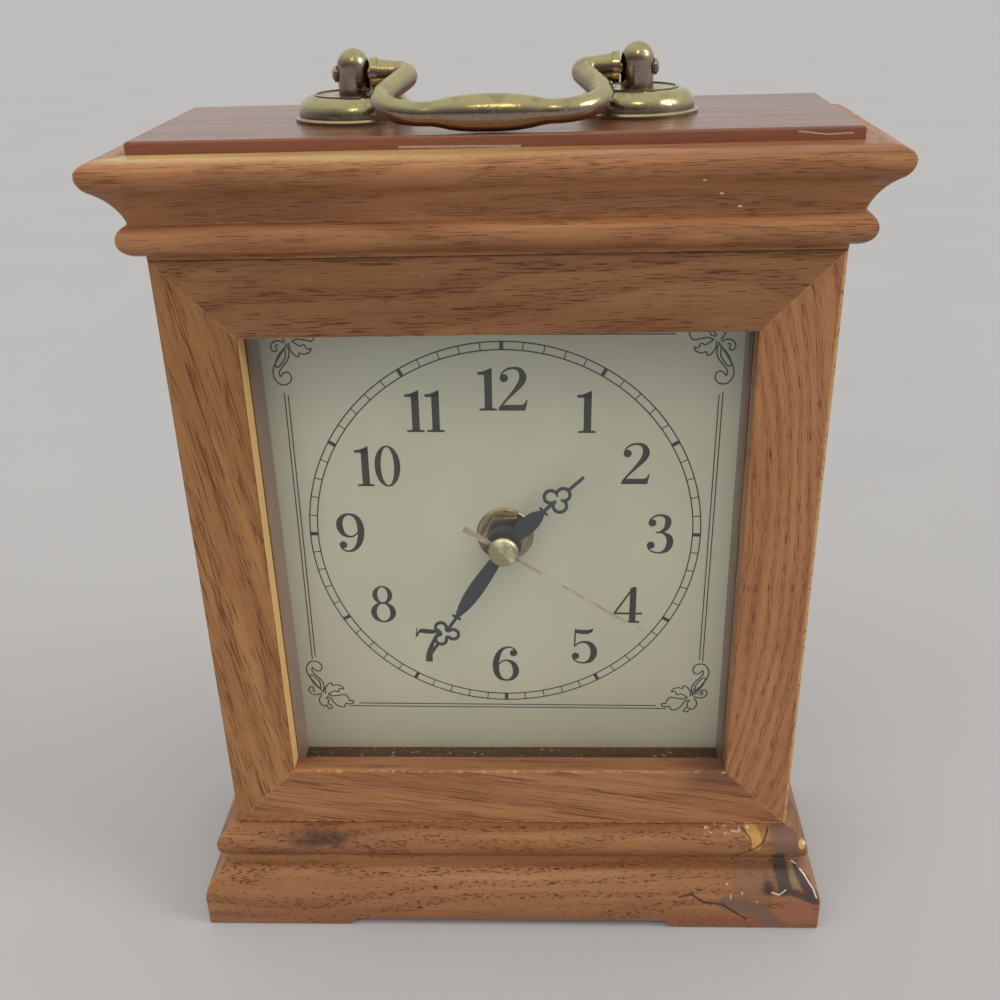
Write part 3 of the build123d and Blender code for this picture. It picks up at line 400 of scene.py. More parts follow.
class Finish:
    """A material's nodes, with a short call for each kind that the finishes use."""

    def __init__(self, name):
        self.material = bpy.data.materials.new(name)
        self.material.use_nodes = True
        self.tree = self.material.node_tree
        self.shader = self.tree.nodes["Principled BSDF"]
        self.output = self.tree.nodes["Material Output"]
        coordinates = self.node("ShaderNodeTexCoord")
        self.place = coordinates.outputs["Object"]
        self.facing = coordinates.outputs["Normal"]

    def node(self, kind, settings=None, **sockets):
        """A new node. A socket's name is written with _ for each space."""
        made = self.tree.nodes.new(kind)
        for name, value in (settings or {}).items():
            setattr(made, name, value)
        for name, value in sockets.items():
            self.join(made.inputs[name.replace("_", " ")], value)
        return made

    def join(self, socket, value):
        """Link the socket to the value if that is a socket too, and set it otherwise."""
        if isinstance(value, bpy.types.NodeSocket):
            self.tree.links.new(value, socket)
        elif isinstance(value, (tuple, list)) and len(value) == 3 and socket.type == "RGBA":
            socket.default_value = (*value, 1.0)
        else:
            socket.default_value = value

    def set(self, **sockets):
        """Join sockets of the shader that every finish ends in."""
        for name, value in sockets.items():
            self.join(self.shader.inputs[name.replace("_", " ")], value)

    def maths(self, operation, *values, clamp=False):
        made = self.node("ShaderNodeMath", {"operation": operation, "use_clamp": clamp})
        for socket, value in zip(made.inputs, values):
            self.join(socket, value)
        return made.outputs[0]

    def vectors(self, operation, *values, result="Value"):
        made = self.node("ShaderNodeVectorMath", {"operation": operation})
        for socket, value in zip(made.inputs, values):
            self.join(socket, value)
        return made.outputs[result]

    def axes(self, vector):
        """The vector's parts, by the names X, Y and Z."""
        return self.node("ShaderNodeSeparateXYZ", Vector=vector).outputs

    def scaled(self, scale, place=None, offset=(0.0, 0.0, 0.0)):
        """Places scaled and then moved: the object's own unless some are given."""
        made = self.node("ShaderNodeMapping", Vector=place or self.place)
        made.inputs["Location"].default_value = offset
        made.inputs["Scale"].default_value = scale
        return made.outputs[0]

    def noise(self, vector, detail, roughness, distortion=0.0):
        """Noise in clouds about one unit wide."""
        made = self.node(
            "ShaderNodeTexNoise", Vector=vector, Scale=1.0, Detail=detail, Roughness=roughness,
            Distortion=distortion,
        )
        return made.outputs["Fac"]

    def cloud(self, per_metre, detail=3.0, roughness=0.6):
        """Noise that is alike in all directions, at a number of clouds per metre."""
        return self.noise(self.scaled((per_metre,) * 3), detail, roughness)

    def drawn_out(self, spot, lengths, detail=2.0, roughness=0.5, distortion=0.0, offset=(0.0, 0.0, 0.0)):
        """Noise in clouds of one length along the spot's X and another across it."""
        along, across = lengths
        return self.noise(
            self.scaled((1 / along, 1 / across, 1 / across), spot, offset), detail, roughness, distortion
        )

    def between(self, value, low, high, to_low=0.0, to_high=1.0):
        """Where the value lies from low to high, eased, as a number from to_low to to_high."""
        made = self.node("ShaderNodeMapRange", {"interpolation_type": "SMOOTHSTEP"}, Value=value)
        made.inputs["From Min"].default_value = low
        made.inputs["From Max"].default_value = high
        made.inputs["To Min"].default_value = to_low
        made.inputs["To Max"].default_value = to_high
        return made.outputs[0]

    def mix(self, factor, first, second):
        made = self.node("ShaderNodeMix", {"data_type": "RGBA"})
        self.join(made.inputs[mix_factor], factor)
        self.join(made.inputs[mix_first], first)
        self.join(made.inputs[mix_second], second)
        return made.outputs[mix_result]

    def bump(self, height, distance, strength):
        made = self.node("ShaderNodeBump", Height=height, Distance=distance, Strength=strength)
        self.join(self.shader.inputs["Normal"], made.outputs[0])

    def edges(self, radius):
        """Near 0 on flat faces, and more on arrises that are narrower than the radius."""
        rounded = self.node("ShaderNodeBevel", {"samples": 4}, Radius=radius).outputs[0]
        flat = self.node("ShaderNodeNewGeometry").outputs["Normal"]
        return self.maths("SUBTRACT", 1.0, self.vectors("DOT_PRODUCT", rounded, flat), clamp=True)


# Wood

# Each pattern's lengths along and across the grain, and how far the growth rings waver
waver_mm = (130.0, 34.0)
tone_mm = (90.0, 11.0)
golden_mm = (60.0, 5.0)
streak_mm = (24.0, 0.5)
fibre_mm = (16.0, 0.3125)
waver_reach_mm = 30.0

# Worn arrises, open pores, and what tells a board's broad faces and one board from another
arris_width_mm = 0.9
rubbing_per_metre = 400.0
pore_depth_mm = 0.09
broad_facing = 0.5
seed_steps = (137.0, 53.0, 29.0)

oak_tones = {
    "light": (0.44, 0.20, 0.074),
    "middle": (0.34, 0.142, 0.051),
    "dark": (0.20, 0.074, 0.026),
    "pore": (0.135, 0.040, 0.011),
    "gold": (0.56, 0.300, 0.098),
    "worn": (0.64, 0.42, 0.18),
}
amber_tones = {
    "light": (0.43, 0.210, 0.078),
    "middle": (0.35, 0.160, 0.057),
    "dark": (0.21, 0.084, 0.029),
    "pore": (0.125, 0.036, 0.010),
    "gold": (0.52, 0.275, 0.095),
    "worn": (0.64, 0.42, 0.18),
}
rose_tones = {
    "light": (0.46, 0.215, 0.092),
    "middle": (0.37, 0.160, 0.066),
    "dark": (0.22, 0.084, 0.036),
    "pore": (0.150, 0.042, 0.014),
    "gold": (0.54, 0.275, 0.110),
    "worn": (0.64, 0.42, 0.18),
}
top_tones = {
    "light": (0.25, 0.080, 0.032),
    "middle": (0.18, 0.054, 0.021),
    "dark": (0.11, 0.030, 0.012),
    "pore": (0.05, 0.014, 0.006),
    "gold": (0.30, 0.12, 0.05),
    "worn": (0.42, 0.20, 0.08),
}
bare_tones = {
    "light": (0.62, 0.43, 0.25),
    "middle": (0.53, 0.35, 0.19),
    "dark": (0.40, 0.25, 0.13),
    "pore": (0.30, 0.18, 0.09),
    "gold": (0.66, 0.48, 0.28),
    "worn": (0.66, 0.50, 0.32),
}


def grain_place(finish, along, across, lean, bow, seed):
    """Places in millimetres, with X along the grain, Y across it and Z into the board.

    On the board's broad faces the grain leans by some degrees, and bow is how far it bends
    sideways, in millimetres, for each square millimetre of its length squared. Both start at
    the dial's height.
    """
    into = ({"X", "Y", "Z"} - {along, across}).pop()
    spot = finish.axes(finish.place)
    facing = finish.axes(finish.facing)[into]
    broad = finish.maths("GREATER_THAN", finish.maths("ABSOLUTE", facing), broad_facing)
    away = finish.maths("SUBTRACT", spot[along], dial_middle.z)
    slope = finish.maths("MULTIPLY_ADD", away, bow / MM, math.tan(math.radians(lean)))
    slant = finish.maths("MULTIPLY", finish.maths("MULTIPLY", away, slope), broad)
    sideways = finish.maths("ADD", spot[across], slant)
    joined = finish.node("ShaderNodeCombineXYZ", X=spot[along], Y=sideways, Z=spot[into]).outputs[0]
    return finish.scaled((1 / MM,) * 3, joined, [seed * step for step in seed_steps])


def early_wood(finish, spot, ring_width_mm, tilt):
    """1 in each year's porous early wood and 0 in the late wood, in rings tilted to the board's face."""
    axes = finish.axes(spot)
    tilted = finish.maths(
        "ADD",
        finish.maths("MULTIPLY", axes["Y"], math.cos(math.radians(tilt))),
        finish.maths("MULTIPLY", axes["Z"], math.sin(math.radians(tilt))),
    )
    wavering = finish.maths("MULTIPLY_ADD", finish.drawn_out(spot, waver_mm), waver_reach_mm, tilted)
    year = finish.maths("FRACT", finish.maths("DIVIDE", wavering, ring_width_mm))
    closing = finish.between(year, 0.35, 0.75, 1.0, 0.0)
    return finish.maths("MULTIPLY", finish.between(year, 0.0, 0.12), closing)


def dash_pores(finish, spot, early, lengths, strength):
    """Open pores as short dashes along the grain, most of them in the early wood."""
    dash = finish.drawn_out(spot, lengths, distortion=0.1)
    closed_share = finish.between(early, 0.0, 1.0, 0.63, 0.55)
    inside = finish.between(finish.maths("SUBTRACT", dash, closed_share), 0.0, 0.06)
    return finish.maths("MULTIPLY", inside, strength)


def worn_arris(finish, wear):
    """Narrow edges where the stain is rubbed away in places."""
    rubbed = finish.between(finish.cloud(rubbing_per_metre, 2.0), 0.4, 0.62)
    edge = finish.between(finish.edges(arris_width_mm * MM), 0.04, 0.3)
    return finish.maths("MULTIPLY", finish.maths("MULTIPLY", edge, rubbed), wear)


def wood(
    name, along="X", across="Z", lean=0.0, bow=0.0, seed=0.0, tones=oak_tones, depth=0.9,
    ring_width_mm=4.5, tilt=25.0, gloss=0.18, pores=0.7, pore_mm=6.5, pore_width_mm=0.27,
    bands=0.3, streaks=0.3, gold=0.4, wear=0.6, marks=(),
):
    """Ring-porous wood under lacquer, in its tones times depth.

    Pores, bands, streaks, gold and wear say how strongly each of these shows, from 0 to 1.
    """
    tones = {part: tuple(level * depth for level in tone) for part, tone in tones.items()}
    finish = Finish(name)
    spot = grain_place(finish, along, across, lean, bow, seed)
    early = early_wood(finish, spot, ring_width_mm, tilt)
    pore = dash_pores(finish, spot, early, (pore_mm, pore_width_mm), pores)
    tone = finish.drawn_out(spot, tone_mm, 3.0, 0.55)
    fibre = finish.drawn_out(spot, fibre_mm, roughness=0.6)
    streak = finish.drawn_out(spot, streak_mm, offset=(3.1, 7.7, 1.9))
    golden = finish.drawn_out(spot, golden_mm, offset=(9.4, 2.2, 5.3))
    colour = finish.mix(finish.between(tone, 0.36, 0.66), tones["light"], tones["middle"])
    colour = finish.mix(finish.between(golden, 0.5, 0.68, 0.0, gold), colour, tones["gold"])
    colour = finish.mix(finish.maths("MULTIPLY", early, bands), colour, tones["dark"])
    colour = finish.mix(finish.between(fibre, 0.42, 0.72, 0.0, 0.25), colour, tones["dark"])
    colour = finish.mix(finish.between(streak, 0.6, 0.66, 0.0, streaks), colour, tones["pore"])
    colour = finish.mix(pore, colour, tones["pore"])
    colour = finish.mix(worn_arris(finish, wear), colour, tones["worn"])
    for mark in marks:
        colour = mark(finish, colour)
    height = finish.maths("SUBTRACT", finish.maths("MULTIPLY", fibre, 0.25), pore)
    finish.bump(height, pore_depth_mm * MM, 0.6)
    finish.set(
        Base_Color=colour,
        Roughness=finish.between(finish.maths("ADD", tone, pore), 0.3, 1.4, 0.42, 0.62),
        Coat_Weight=gloss,
        Coat_Roughness=0.22,
        Specular_IOR_Level=0.35,
        Specular_Tint=(1.0, 0.88, 0.76),
    )
    return finish.material


# Marks of age, and painted light and shade, laid on a finish's colour at places in millimetres across and up
# the front

# A run's solid core and its soft edge, as shares of its width
run_core = 0.3
run_edge = 0.6

# A zone's chips and ragged border, and how softly the chips and a mark's depth end
chips_mm = 1.6
zone_fray_mm = 2.5
chip_fade = 0.08
depth_fade_mm = 0.2


def frayed(finish, value, grain_mm, amount):
    """The value moved up and down by fine noise, so that a mark's border is ragged."""
    noise = finish.cloud(1 / (grain_mm * MM), 4.0)
    return finish.maths("MULTIPLY_ADD", noise, 2 * amount, finish.maths("SUBTRACT", value, amount))


def patch(x, z, half_width, half_height, colour, strength=0.8, ragged=0.5, softness=0.4):
    """A ragged oval blotch round the place (x, z)."""
    def lay(finish, base):
        spot = finish.scaled(
            (1 / (half_width * MM), 0.0, 1 / (half_height * MM)),
            offset=(-x / half_width, 0.0, -z / half_height),
        )
        edge = frayed(finish, finish.vectors("LENGTH", spot), min(half_width, half_height), ragged)
        return finish.mix(finish.between(edge, 1 - softness, 1.0, strength, 0.0), base, colour)
    return lay


def run(points, width, colour, strength=0.8, ragged=0.4):
    """A scratch or dark run along a line of (x, z) points."""
    def lay(finish, base):
        spot = finish.scaled((1 / MM, 0.0, 1 / MM))
        nearest = None
        for start, end in zip(points, points[1:]):
            begin = Vector((start[0], 0.0, start[1]))
            reach = Vector((end[0], 0.0, end[1])) - begin
            away = finish.vectors("SUBTRACT", spot, begin, result="Vector")
            share = finish.vectors("DOT_PRODUCT", away, reach / reach.length_squared)
            share = finish.maths("ADD", share, 0.0, clamp=True)
            foot = finish.node("ShaderNodeVectorMath", {"operation": "SCALE"}, Vector=reach, Scale=share)
            gap = finish.vectors("DISTANCE", away, foot.outputs["Vector"])
            nearest = gap if nearest is None else finish.maths("MINIMUM", nearest, gap)
        edge = frayed(finish, nearest, width, ragged * width)
        cover = finish.between(edge, width * run_core, width * run_edge, strength, 0.0)
        return finish.mix(cover, base, colour)
    return lay


def zone(colour, strength, soft, ragged, ranges, bare_share=0.0):
    """A band of wear, dirt, painted shade or painted light between two levels on each axis named, left bare
    in places by the share.
    """
    def lay(finish, base):
        axes = finish.axes(finish.scaled((1 / MM,) * 3))
        mask = strength
        for axis, (low, high) in ranges.items():
            level = frayed(finish, axes[axis], zone_fray_mm, ragged)
            mask = finish.maths("MULTIPLY", mask, finish.between(level, low - soft, low))
            mask = finish.maths("MULTIPLY", mask, finish.between(level, high, high + soft, 1.0, 0.0))
        if bare_share:
            chips = finish.cloud(1 / (chips_mm * MM))
            left = finish.between(chips, bare_share - chip_fade, bare_share + chip_fade)
            mask = finish.maths("MULTIPLY", mask, left)
        return finish.mix(mask, base, colour)
    return lay


def in_front_of(depth, mark):
    """The mark, kept to places nearer the front than the depth in millimetres."""
    def lay(finish, base):
        back = finish.axes(finish.scaled((1 / MM,) * 3))["Y"]
        cover = finish.between(back, depth - depth_fade_mm, depth, 1.0, 0.0)
        return finish.mix(cover, base, mark(finish, base))
    return lay


# Metal, paint, plastic, dial and glass

polish_per_metre = 140.0
pits_per_metre = 1500.0
pit_depth_mm = 0.07
hollow_mm = 3.0
# The side that light falls from; brass faces turned away from it get painted shade
lit_side = (0.1, -0.2, 0.97)
uneven_per_metre = 60.0
dial_clouds_per_metre = (22.0, 22.0, 14.0)
dial_brush_per_metre = (2500.0, 2500.0, 40.0)
dial_brush_depth_mm = 0.01
dust_per_metre = 900.0


def metal(
    name, colour, tarnish, roughness, tarnish_share, dull=0.2, pitting=0.0, painted_underside_shade=None, metallic=1.0,
):
    """Metal with uneven polish and with tarnish in patches and hollows.

    Pitting is the strength of a casting's small pits, and the colour for the lower sides is painted shade and
    painted reflection of the dim room, on faces turned away from the lit side.
    """
    finish = Finish(name)
    cloud = finish.cloud(polish_per_metre, 4.0)
    hollow = finish.node("ShaderNodeAmbientOcclusion", {"samples": 6}, Distance=hollow_mm * MM).outputs["AO"]
    dirt = finish.maths(
        "MULTIPLY", finish.between(hollow, 0.35, 0.85, 1.0, 0.0), finish.between(cloud, 0.3, 0.55)
    )
    patches = finish.maths("MULTIPLY", finish.between(cloud, 0.48, 0.68), tarnish_share)
    colour = finish.mix(patches, colour, tarnish)
    # Painted shade and painted reflection of the dim room on the faces turned away from the lit side
    if painted_underside_shade:
        rise = finish.vectors("DOT_PRODUCT", finish.facing, lit_side)
        level = finish.maths("MULTIPLY_ADD", cloud, 0.5, rise)
        colour = finish.mix(finish.between(level, 0.4, 1.1, 1.0, 0.0), colour, painted_underside_shade)
    dark = tuple(part * 0.35 for part in tarnish)
    colour = finish.mix(dirt, colour, dark)
    polish = finish.between(cloud, 0.3, 0.75, roughness, roughness + dull)
    rough = finish.maths("ADD", polish, finish.maths("MULTIPLY", dirt, 0.25))
    if pitting:
        pits = finish.between(finish.cloud(pits_per_metre, 2.0), 0.62, 0.7)
        colour = finish.mix(finish.maths("MULTIPLY", pits, 0.5), colour, dark)
        rough = finish.maths("MULTIPLY_ADD", pits, 0.2, rough)
        swell = finish.maths("ADD", finish.cloud(pits_per_metre), cloud)
        finish.bump(finish.maths("SUBTRACT", swell, pits), pit_depth_mm * MM, pitting)
    finish.set(Base_Color=colour, Metallic=metallic, Roughness=rough)
    return finish.material


def plain(name, colour, roughness, speckle, grain_mm, bump_mm, **sockets):
    """A painted, moulded or sheet surface, unevenly darker by the speckle, with a fine texture."""
    finish = Finish(name)
    fine = finish.cloud(1 / (grain_mm * MM))
    broad = finish.cloud(uneven_per_metre, 3.0, 0.5)
    darker = tuple(part * (1 - speckle * 2) for part in colour)
    shade = finish.maths("MULTIPLY", finish.maths("ADD", fine, broad), 0.5)
    finish.set(
        Base_Color=finish.mix(shade, colour, darker),
        Roughness=finish.between(fine, 0.3, 0.7, roughness - 0.06, roughness + 0.06),
        **sockets,
    )
    finish.bump(fine, bump_mm * MM, 0.5)
    return finish.material


def dial_finish():
    """Brushed satin sheet with a faint grey-green cast, warmer towards its foot, with one dark spot."""
    finish = Finish("dial_sheet")
    height = finish.axes(finish.place)["Z"]
    foot = finish.between(height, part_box("dial_plate")[0].z, dial_middle.z, 1.0, 0.0)
    cloud = finish.noise(finish.scaled(dial_clouds_per_metre), 3.0, 0.5)
    brush = finish.noise(finish.scaled(dial_brush_per_metre), 2.0, 0.5)
    colour = finish.mix(finish.between(cloud, 0.35, 0.65), (0.595, 0.60, 0.475), (0.555, 0.55, 0.435))
    colour = finish.mix(finish.maths("MULTIPLY", foot, 0.5), colour, (0.54, 0.50, 0.385))
    colour = patch(61.0, 69.6, 2.2, 1.8, (0.16, 0.15, 0.13), 0.7, 0.5)(finish, colour)
    finish.set(Base_Color=colour, Metallic=0.2, Roughness=finish.between(brush, 0.3, 0.7, 0.36, 0.46))
    finish.bump(brush, dial_brush_depth_mm * MM, 0.3)
    return finish.material


def glass_finish():
    """Clear, slightly dusty sheet glass that lets the lamps through to the dial."""
    finish = Finish("sheet_glass")
    finish.set(
        Base_Color=(0.97, 0.985, 0.975),
        Roughness=finish.between(finish.cloud(dust_per_metre), 0.55, 0.75, 0.0, 0.06),
        Transmission_Weight=1.0,
        IOR=1.5,
    )
    clear = finish.node("ShaderNodeBsdfTransparent", Color=(0.95, 0.965, 0.955)).outputs[0]
    lamp_ray = finish.node("ShaderNodeLightPath").outputs["Is Shadow Ray"]
    joined = finish.node("ShaderNodeMixShader")
    for socket, value in zip(joined.inputs, (lamp_ray, finish.shader.outputs[0], clear)):
        finish.join(socket, value)
    finish.join(finish.output.inputs["Surface"], joined.outputs[0])
    return finish.material


# Stage: a pale floor, soft lamps and the camera

def make_stage():
    """A floor so wide that its far edge lies near the horizon."""
    finish = Finish("pale_floor")
    cloud = finish.cloud(floor_clouds_per_metre, 2.0, 0.5)
    finish.set(Base_Color=finish.mix(cloud, *floor_tones), Roughness=0.9)
    mesh = bpy.data.meshes.new("floor")
    shape = bmesh.new()
    corners = ((-1, -1), (1, -1), (1, 1), (-1, 1))
    shape.faces.new([shape.verts.new((floor_half * x, floor_half * y, 0.0)) for x, y in corners])
    shape.to_mesh(mesh)
    shape.free()
    floor = bpy.data.objects.new("floor", mesh)
    bpy.context.collection.objects.link(floor)
    mesh.materials.append(finish.material)


def add_lamp(name, source, strength, spread, colour, mirrored=True):
    """A far soft lamp that shines from the source's direction, and shows in gloss if mirrored."""
    lamp = bpy.data.lights.new(name, "SUN")
    lamp.energy = strength
    lamp.angle = math.radians(spread)
    lamp.color = colour
    made = bpy.data.objects.new(name, lamp)
    made.rotation_euler = Vector(source).to_track_quat("Z", "Y").to_euler()
    made.visible_glossy = mirrored
    bpy.context.collection.objects.link(made)


def make_lights():
    """A room that is bright above and behind the clock and dim in front of it, and the lamps."""
    world = bpy.data.worlds.new("soft_room")
    world.use_nodes = True
    tree = world.node_tree
    direction = tree.nodes.new("ShaderNodeTexCoord").outputs["Generated"]
    rise = tree.nodes.new("ShaderNodeVectorMath")
    rise.operation = "DOT_PRODUCT"
    rise.inputs[1].default_value = Vector(room_bright_side).normalized()
    tree.links.new(direction, rise.inputs[0])
    level = tree.nodes.new("ShaderNodeMapRange")
    level.interpolation_type = "SMOOTHSTEP"
    tree.links.new(rise.outputs["Value"], level.inputs["Value"])
    level.inputs["From Min"].default_value = -room_fade
    level.inputs["From Max"].default_value = room_fade
    tint = tree.nodes.new("ShaderNodeMix")
    tint.data_type = "RGBA"
    tree.links.new(level.outputs[0], tint.inputs[mix_factor])
    tint.inputs[mix_first].default_value = room_dim
    tint.inputs[mix_second].default_value = room_bright
    tree.links.new(tint.outputs[mix_result], tree.nodes["Background"].inputs["Color"])
    bpy.context.scene.world = world
    for name, facts in lamps.items():
        add_lamp(name, **facts)


def make_camera():
    """The camera, at the photograph's viewing angle."""
    lens = bpy.data.cameras.new("camera")
    lens.lens = camera_lens
    lens.shift_y = camera_shift_up
    lens.clip_start = camera_clip_start
    camera = bpy.data.objects.new("camera", lens)
    camera.location = camera_place
    camera.rotation_euler = [math.radians(angle) for angle in camera_turn]
    bpy.context.collection.objects.link(camera)
    bpy.context.scene.camera = camera
    bpy.context.scene.view_settings.view_transform = "Standard"


# The old clock's marks, and painted light and shade

# How far a band's levels run on past a face that it covers
overrun_mm = 1.0

front_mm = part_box("front_rail_top")[0].y / MM
crown_top_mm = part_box("crown_moulding_front")[1].z / MM
board_front_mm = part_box("top_board")[0].y / MM

dark_stain = (0.030, 0.018, 0.016)
slate_stain = (0.066, 0.044, 0.041)
mauve_stain = (0.165, 0.100, 0.076)
bare_gold = (0.48, 0.28, 0.075)
pale_gold = (0.66, 0.45, 0.19)
chalky = (0.74, 0.70, 0.62)


def base_marks():
    """Stains along the base, a darker band at its foot, and its broken and mended lower right corner."""
    along_the_base = [
        patch(15.0, 30.5, 62.0, 5.0, (0.30, 0.145, 0.042), 0.3, 0.3, 0.9),
        # A darker band along the base's foot
        zone((0.24, 0.090, 0.055), 0.5, 2.5, 1.0, {"Z": (-overrun_mm, 3.5)}),
        patch(-61.0, 31.0, 14.0, 3.6, dark_stain, 0.75, 0.7, 0.8),
        patch(-31.0, 24.8, 21.0, 1.8, dark_stain, 0.5, 0.6, 0.8),
        patch(-80.5, 24.6, 8.0, 1.8, dark_stain, 0.45, 0.6, 0.8),
        patch(-58.0, 32.6, 30.0, 1.4, dark_stain, 0.4, 0.8, 0.9),
        patch(-71.0, 24.5, 16.0, 2.2, mauve_stain, 0.6, 0.7, 0.7),
    ]
    corner_stain = [
        patch(79.5, 16.0, 9.0, 8.5, (0.19, 0.105, 0.070), 0.6, 0.4, 0.5),
        patch(88.2, 31.2, 6.4, 5.4, (0.165, 0.092, 0.066), 0.92, 0.5, 0.4),
    ]
    chip_in_the_bead = [
        run([(77.6, 33.6), (79.2, 31.6), (78.9, 30.4)], 4.0, bare_gold, 0.9, 0.2),
        run(
            [(82.8, 33.8), (81.0, 31.0), (79.0, 29.4), (76.5, 28.2), (73.8, 27.0), (72.0, 23.0)],
            0.55, dark_stain, 0.85, 0.6,
        ),
        run([(75.2, 33.6), (77.0, 32.4), (77.5, 30.6), (76.9, 28.8)], 0.5, dark_stain, 0.75, 0.6),
        patch(93.4, 30.6, 1.3, 1.8, (0.60, 0.40, 0.13), 0.9, 0.3),
        patch(94.0, 31.2, 0.5, 0.6, chalky, 0.95, 0.3),
    ]
    broken_corner = [
        patch(91.9, 18.8, 2.2, 5.8, (0.21, 0.165, 0.095), 0.85, 0.4, 0.4),
        patch(83.4, 15.8, 3.2, 4.2, dark_stain, 0.8, 0.5, 0.8),
        run([(86.6, 25.0), (87.8, 19.5), (88.8, 15.8)], 5.0, slate_stain, 0.95, 0.18),
        run([(93.4, 21.0), (95.2, 17.2), (97.6, 13.4)], 4.0, slate_stain, 0.95, 0.15),
        run([(91.5, 14.6), (95.0, 13.2), (98.6, 11.4)], 2.6, slate_stain, 0.9, 0.2),
        patch(92.8, 6.6, 7.6, 5.2, (0.31, 0.120, 0.075), 0.75, 0.25, 0.25),
        run([(70.5, 10.8), (77.0, 9.2), (83.0, 5.8), (86.5, 1.0)], 6.5, mauve_stain, 0.8, 0.2),
        run(
            [(55.0, 12.9), (58.8, 13.9), (63.0, 11.0), (68.8, 10.2), (72.3, 7.6), (76.9, 4.2)],
            0.8, dark_stain, 0.85,
        ),
    ]
    white_scratches = [
        run([(91.2, 22.4), (95.0, 19.3), (97.6, 16.0), (98.9, 13.0)], 0.5, chalky, 0.9),
        run([(84.6, 14.6), (87.0, 13.9), (89.0, 15.4)], 0.4, chalky, 0.8),
        zone(chalky, 0.6, 0.4, 0.3, {"X": (63.0, 77.0), "Z": (33.2, 34.6)}, 0.6),
        patch(70.3, 16.9, 0.5, 0.35, chalky, 0.5, 0.5),
        patch(75.1, 14.4, 0.35, 0.6, chalky, 0.5, 0.5),
        patch(71.5, 13.0, 0.3, 1.2, chalky, 0.5, 0.5),
        patch(80.0, 11.3, 0.5, 0.35, chalky, 0.5, 0.5),
    ]
    return along_the_base + corner_stain + chip_in_the_bead + broken_corner + white_scratches


def crown_marks():
    """Pale wear along the crown's upper edge, and three white flecks."""
    return [
        patch(-82.0, crown_top_mm + 0.5, 44.0, 1.5, pale_gold, 0.9, 0.25, 0.8),
        patch(-25.0, crown_top_mm - 0.2, 70.0, 1.4, pale_gold, 0.55, 0.3, 0.9),
        patch(51.2, 232.8, 0.6, 0.35, chalky, 0.9, 0.4),
        patch(55.9, 229.0, 0.6, 0.4, chalky, 0.9, 0.4),
        patch(60.7, 225.6, 0.7, 0.35, chalky, 0.9, 0.4),
    ]


def board_marks():
    """Two scratches on the top board's front, which is redder than its top."""
    scratches = [
        run([(-22.0, 240.3), (7.3, 240.0)], 0.5, chalky, 0.75, 0.6),
        run([(74.0, 241.9), (80.6, 241.1), (86.8, 241.3)], 0.35, chalky, 0.8, 0.6),
    ]
    front = {"Y": (board_front_mm - overrun_mm, board_front_mm + 0.4)}
    return [
        *(in_front_of(board_front_mm + 1.0, scratch) for scratch in scratches),
        zone((0.24, 0.085, 0.047), 0.45, 0.3, 0.4, front),
    ]


def stile_marks():
    """The left stile's upper part, darkened as painted shade below the crown, its inner edge, bare wood
    painted brighter as painted light from the right, and the right stile's worn outer edge.
    """
    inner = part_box("front_stile_left")[1].x / MM
    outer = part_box("front_stile_right")[1].x / MM
    bare_and_lit_edge = {"X": (inner - 0.35, inner + 0.5), "Y": (front_mm + 1.0, 0.0)}
    worn_edge = {"X": (outer - 0.7, outer + 0.5), "Y": (front_mm - overrun_mm, front_mm + 1.2)}
    left = [
        # Painted shade on the left stile's upper part, below the crown
        patch(-80.0, 205.0, 60.0, 80.0, (0.17, 0.070, 0.022), 0.3, 0.1, 0.95),
        # Bare wood of the left reveal, painted brighter as painted light from the right
        zone((0.95, 0.58, 0.20), 0.95, 0.15, 0.12, bare_and_lit_edge, 0.3),
    ]
    right = [zone((0.56, 0.34, 0.13), 0.75, 0.5, 0.4, worn_edge, 0.42)]
    return left, right


def rail_marks():
    """The top rail's worn lower edge, and the bottom rail's wear, painted shade on its ledge, painted shadow
    in the ledge's right corner, and dusty dark rabbet.
    """
    top_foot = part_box("front_rail_top")[0].z / MM
    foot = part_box("front_rail_bottom")[0].z / MM
    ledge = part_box("front_rail_bottom")[1].z / MM
    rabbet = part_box("glass_pane")[0].z / MM
    top_edge = {"Z": (top_foot - 0.5, top_foot + 0.25), "Y": (front_mm - overrun_mm, front_mm + 1.2)}
    on_ledge = (ledge - 0.3, ledge + 0.5)
    ledge_edge = {"Z": (ledge - 0.6, ledge + 0.1), "Y": (front_mm - overrun_mm, front_mm + 0.6)}
    in_rabbet = {"Z": (rabbet - overrun_mm, rabbet + 0.4), "Y": (front_mm + 8.5, 0.0)}
    top = [zone((0.58, 0.37, 0.16), 0.7, 0.2, 0.15, top_edge, 0.44)]
    bottom = [
        zone((0.72, 0.50, 0.26), 0.85, 0.25, 0.25, {"Z": (foot - 0.5, foot + 0.6)}, 0.5),
        # Painted shade on the ledge's top, behind its front edge
        zone((0.13, 0.045, 0.027), 0.3, 0.9, 0.1, {"Z": on_ledge, "Y": (front_mm + 2.0, 0.0)}),
        # Painted shadow in the ledge's right corner
        zone(
            (0.10, 0.045, 0.035), 0.7, 14.0, 1.5,
            {"X": (64.0, 80.0), "Z": on_ledge, "Y": (front_mm + 1.0, 0.0)},
        ),
        zone((0.62, 0.39, 0.16), 0.6, 0.2, 0.3, ledge_edge, 0.6),
        zone((0.030, 0.019, 0.016), 0.9, 0.3, 0.1, in_rabbet),
        zone(chalky, 0.5, 0.3, 0.1, in_rabbet, 0.67),
    ]
    return top, bottom


# The clock

drilled_boards = ("top_board", "back_door")
oak_ease_mm = 0.35
bare_ease_mm = 0.25
first_bare_seed = 20
ease_angle = 35.0
weld_mm = 0.002


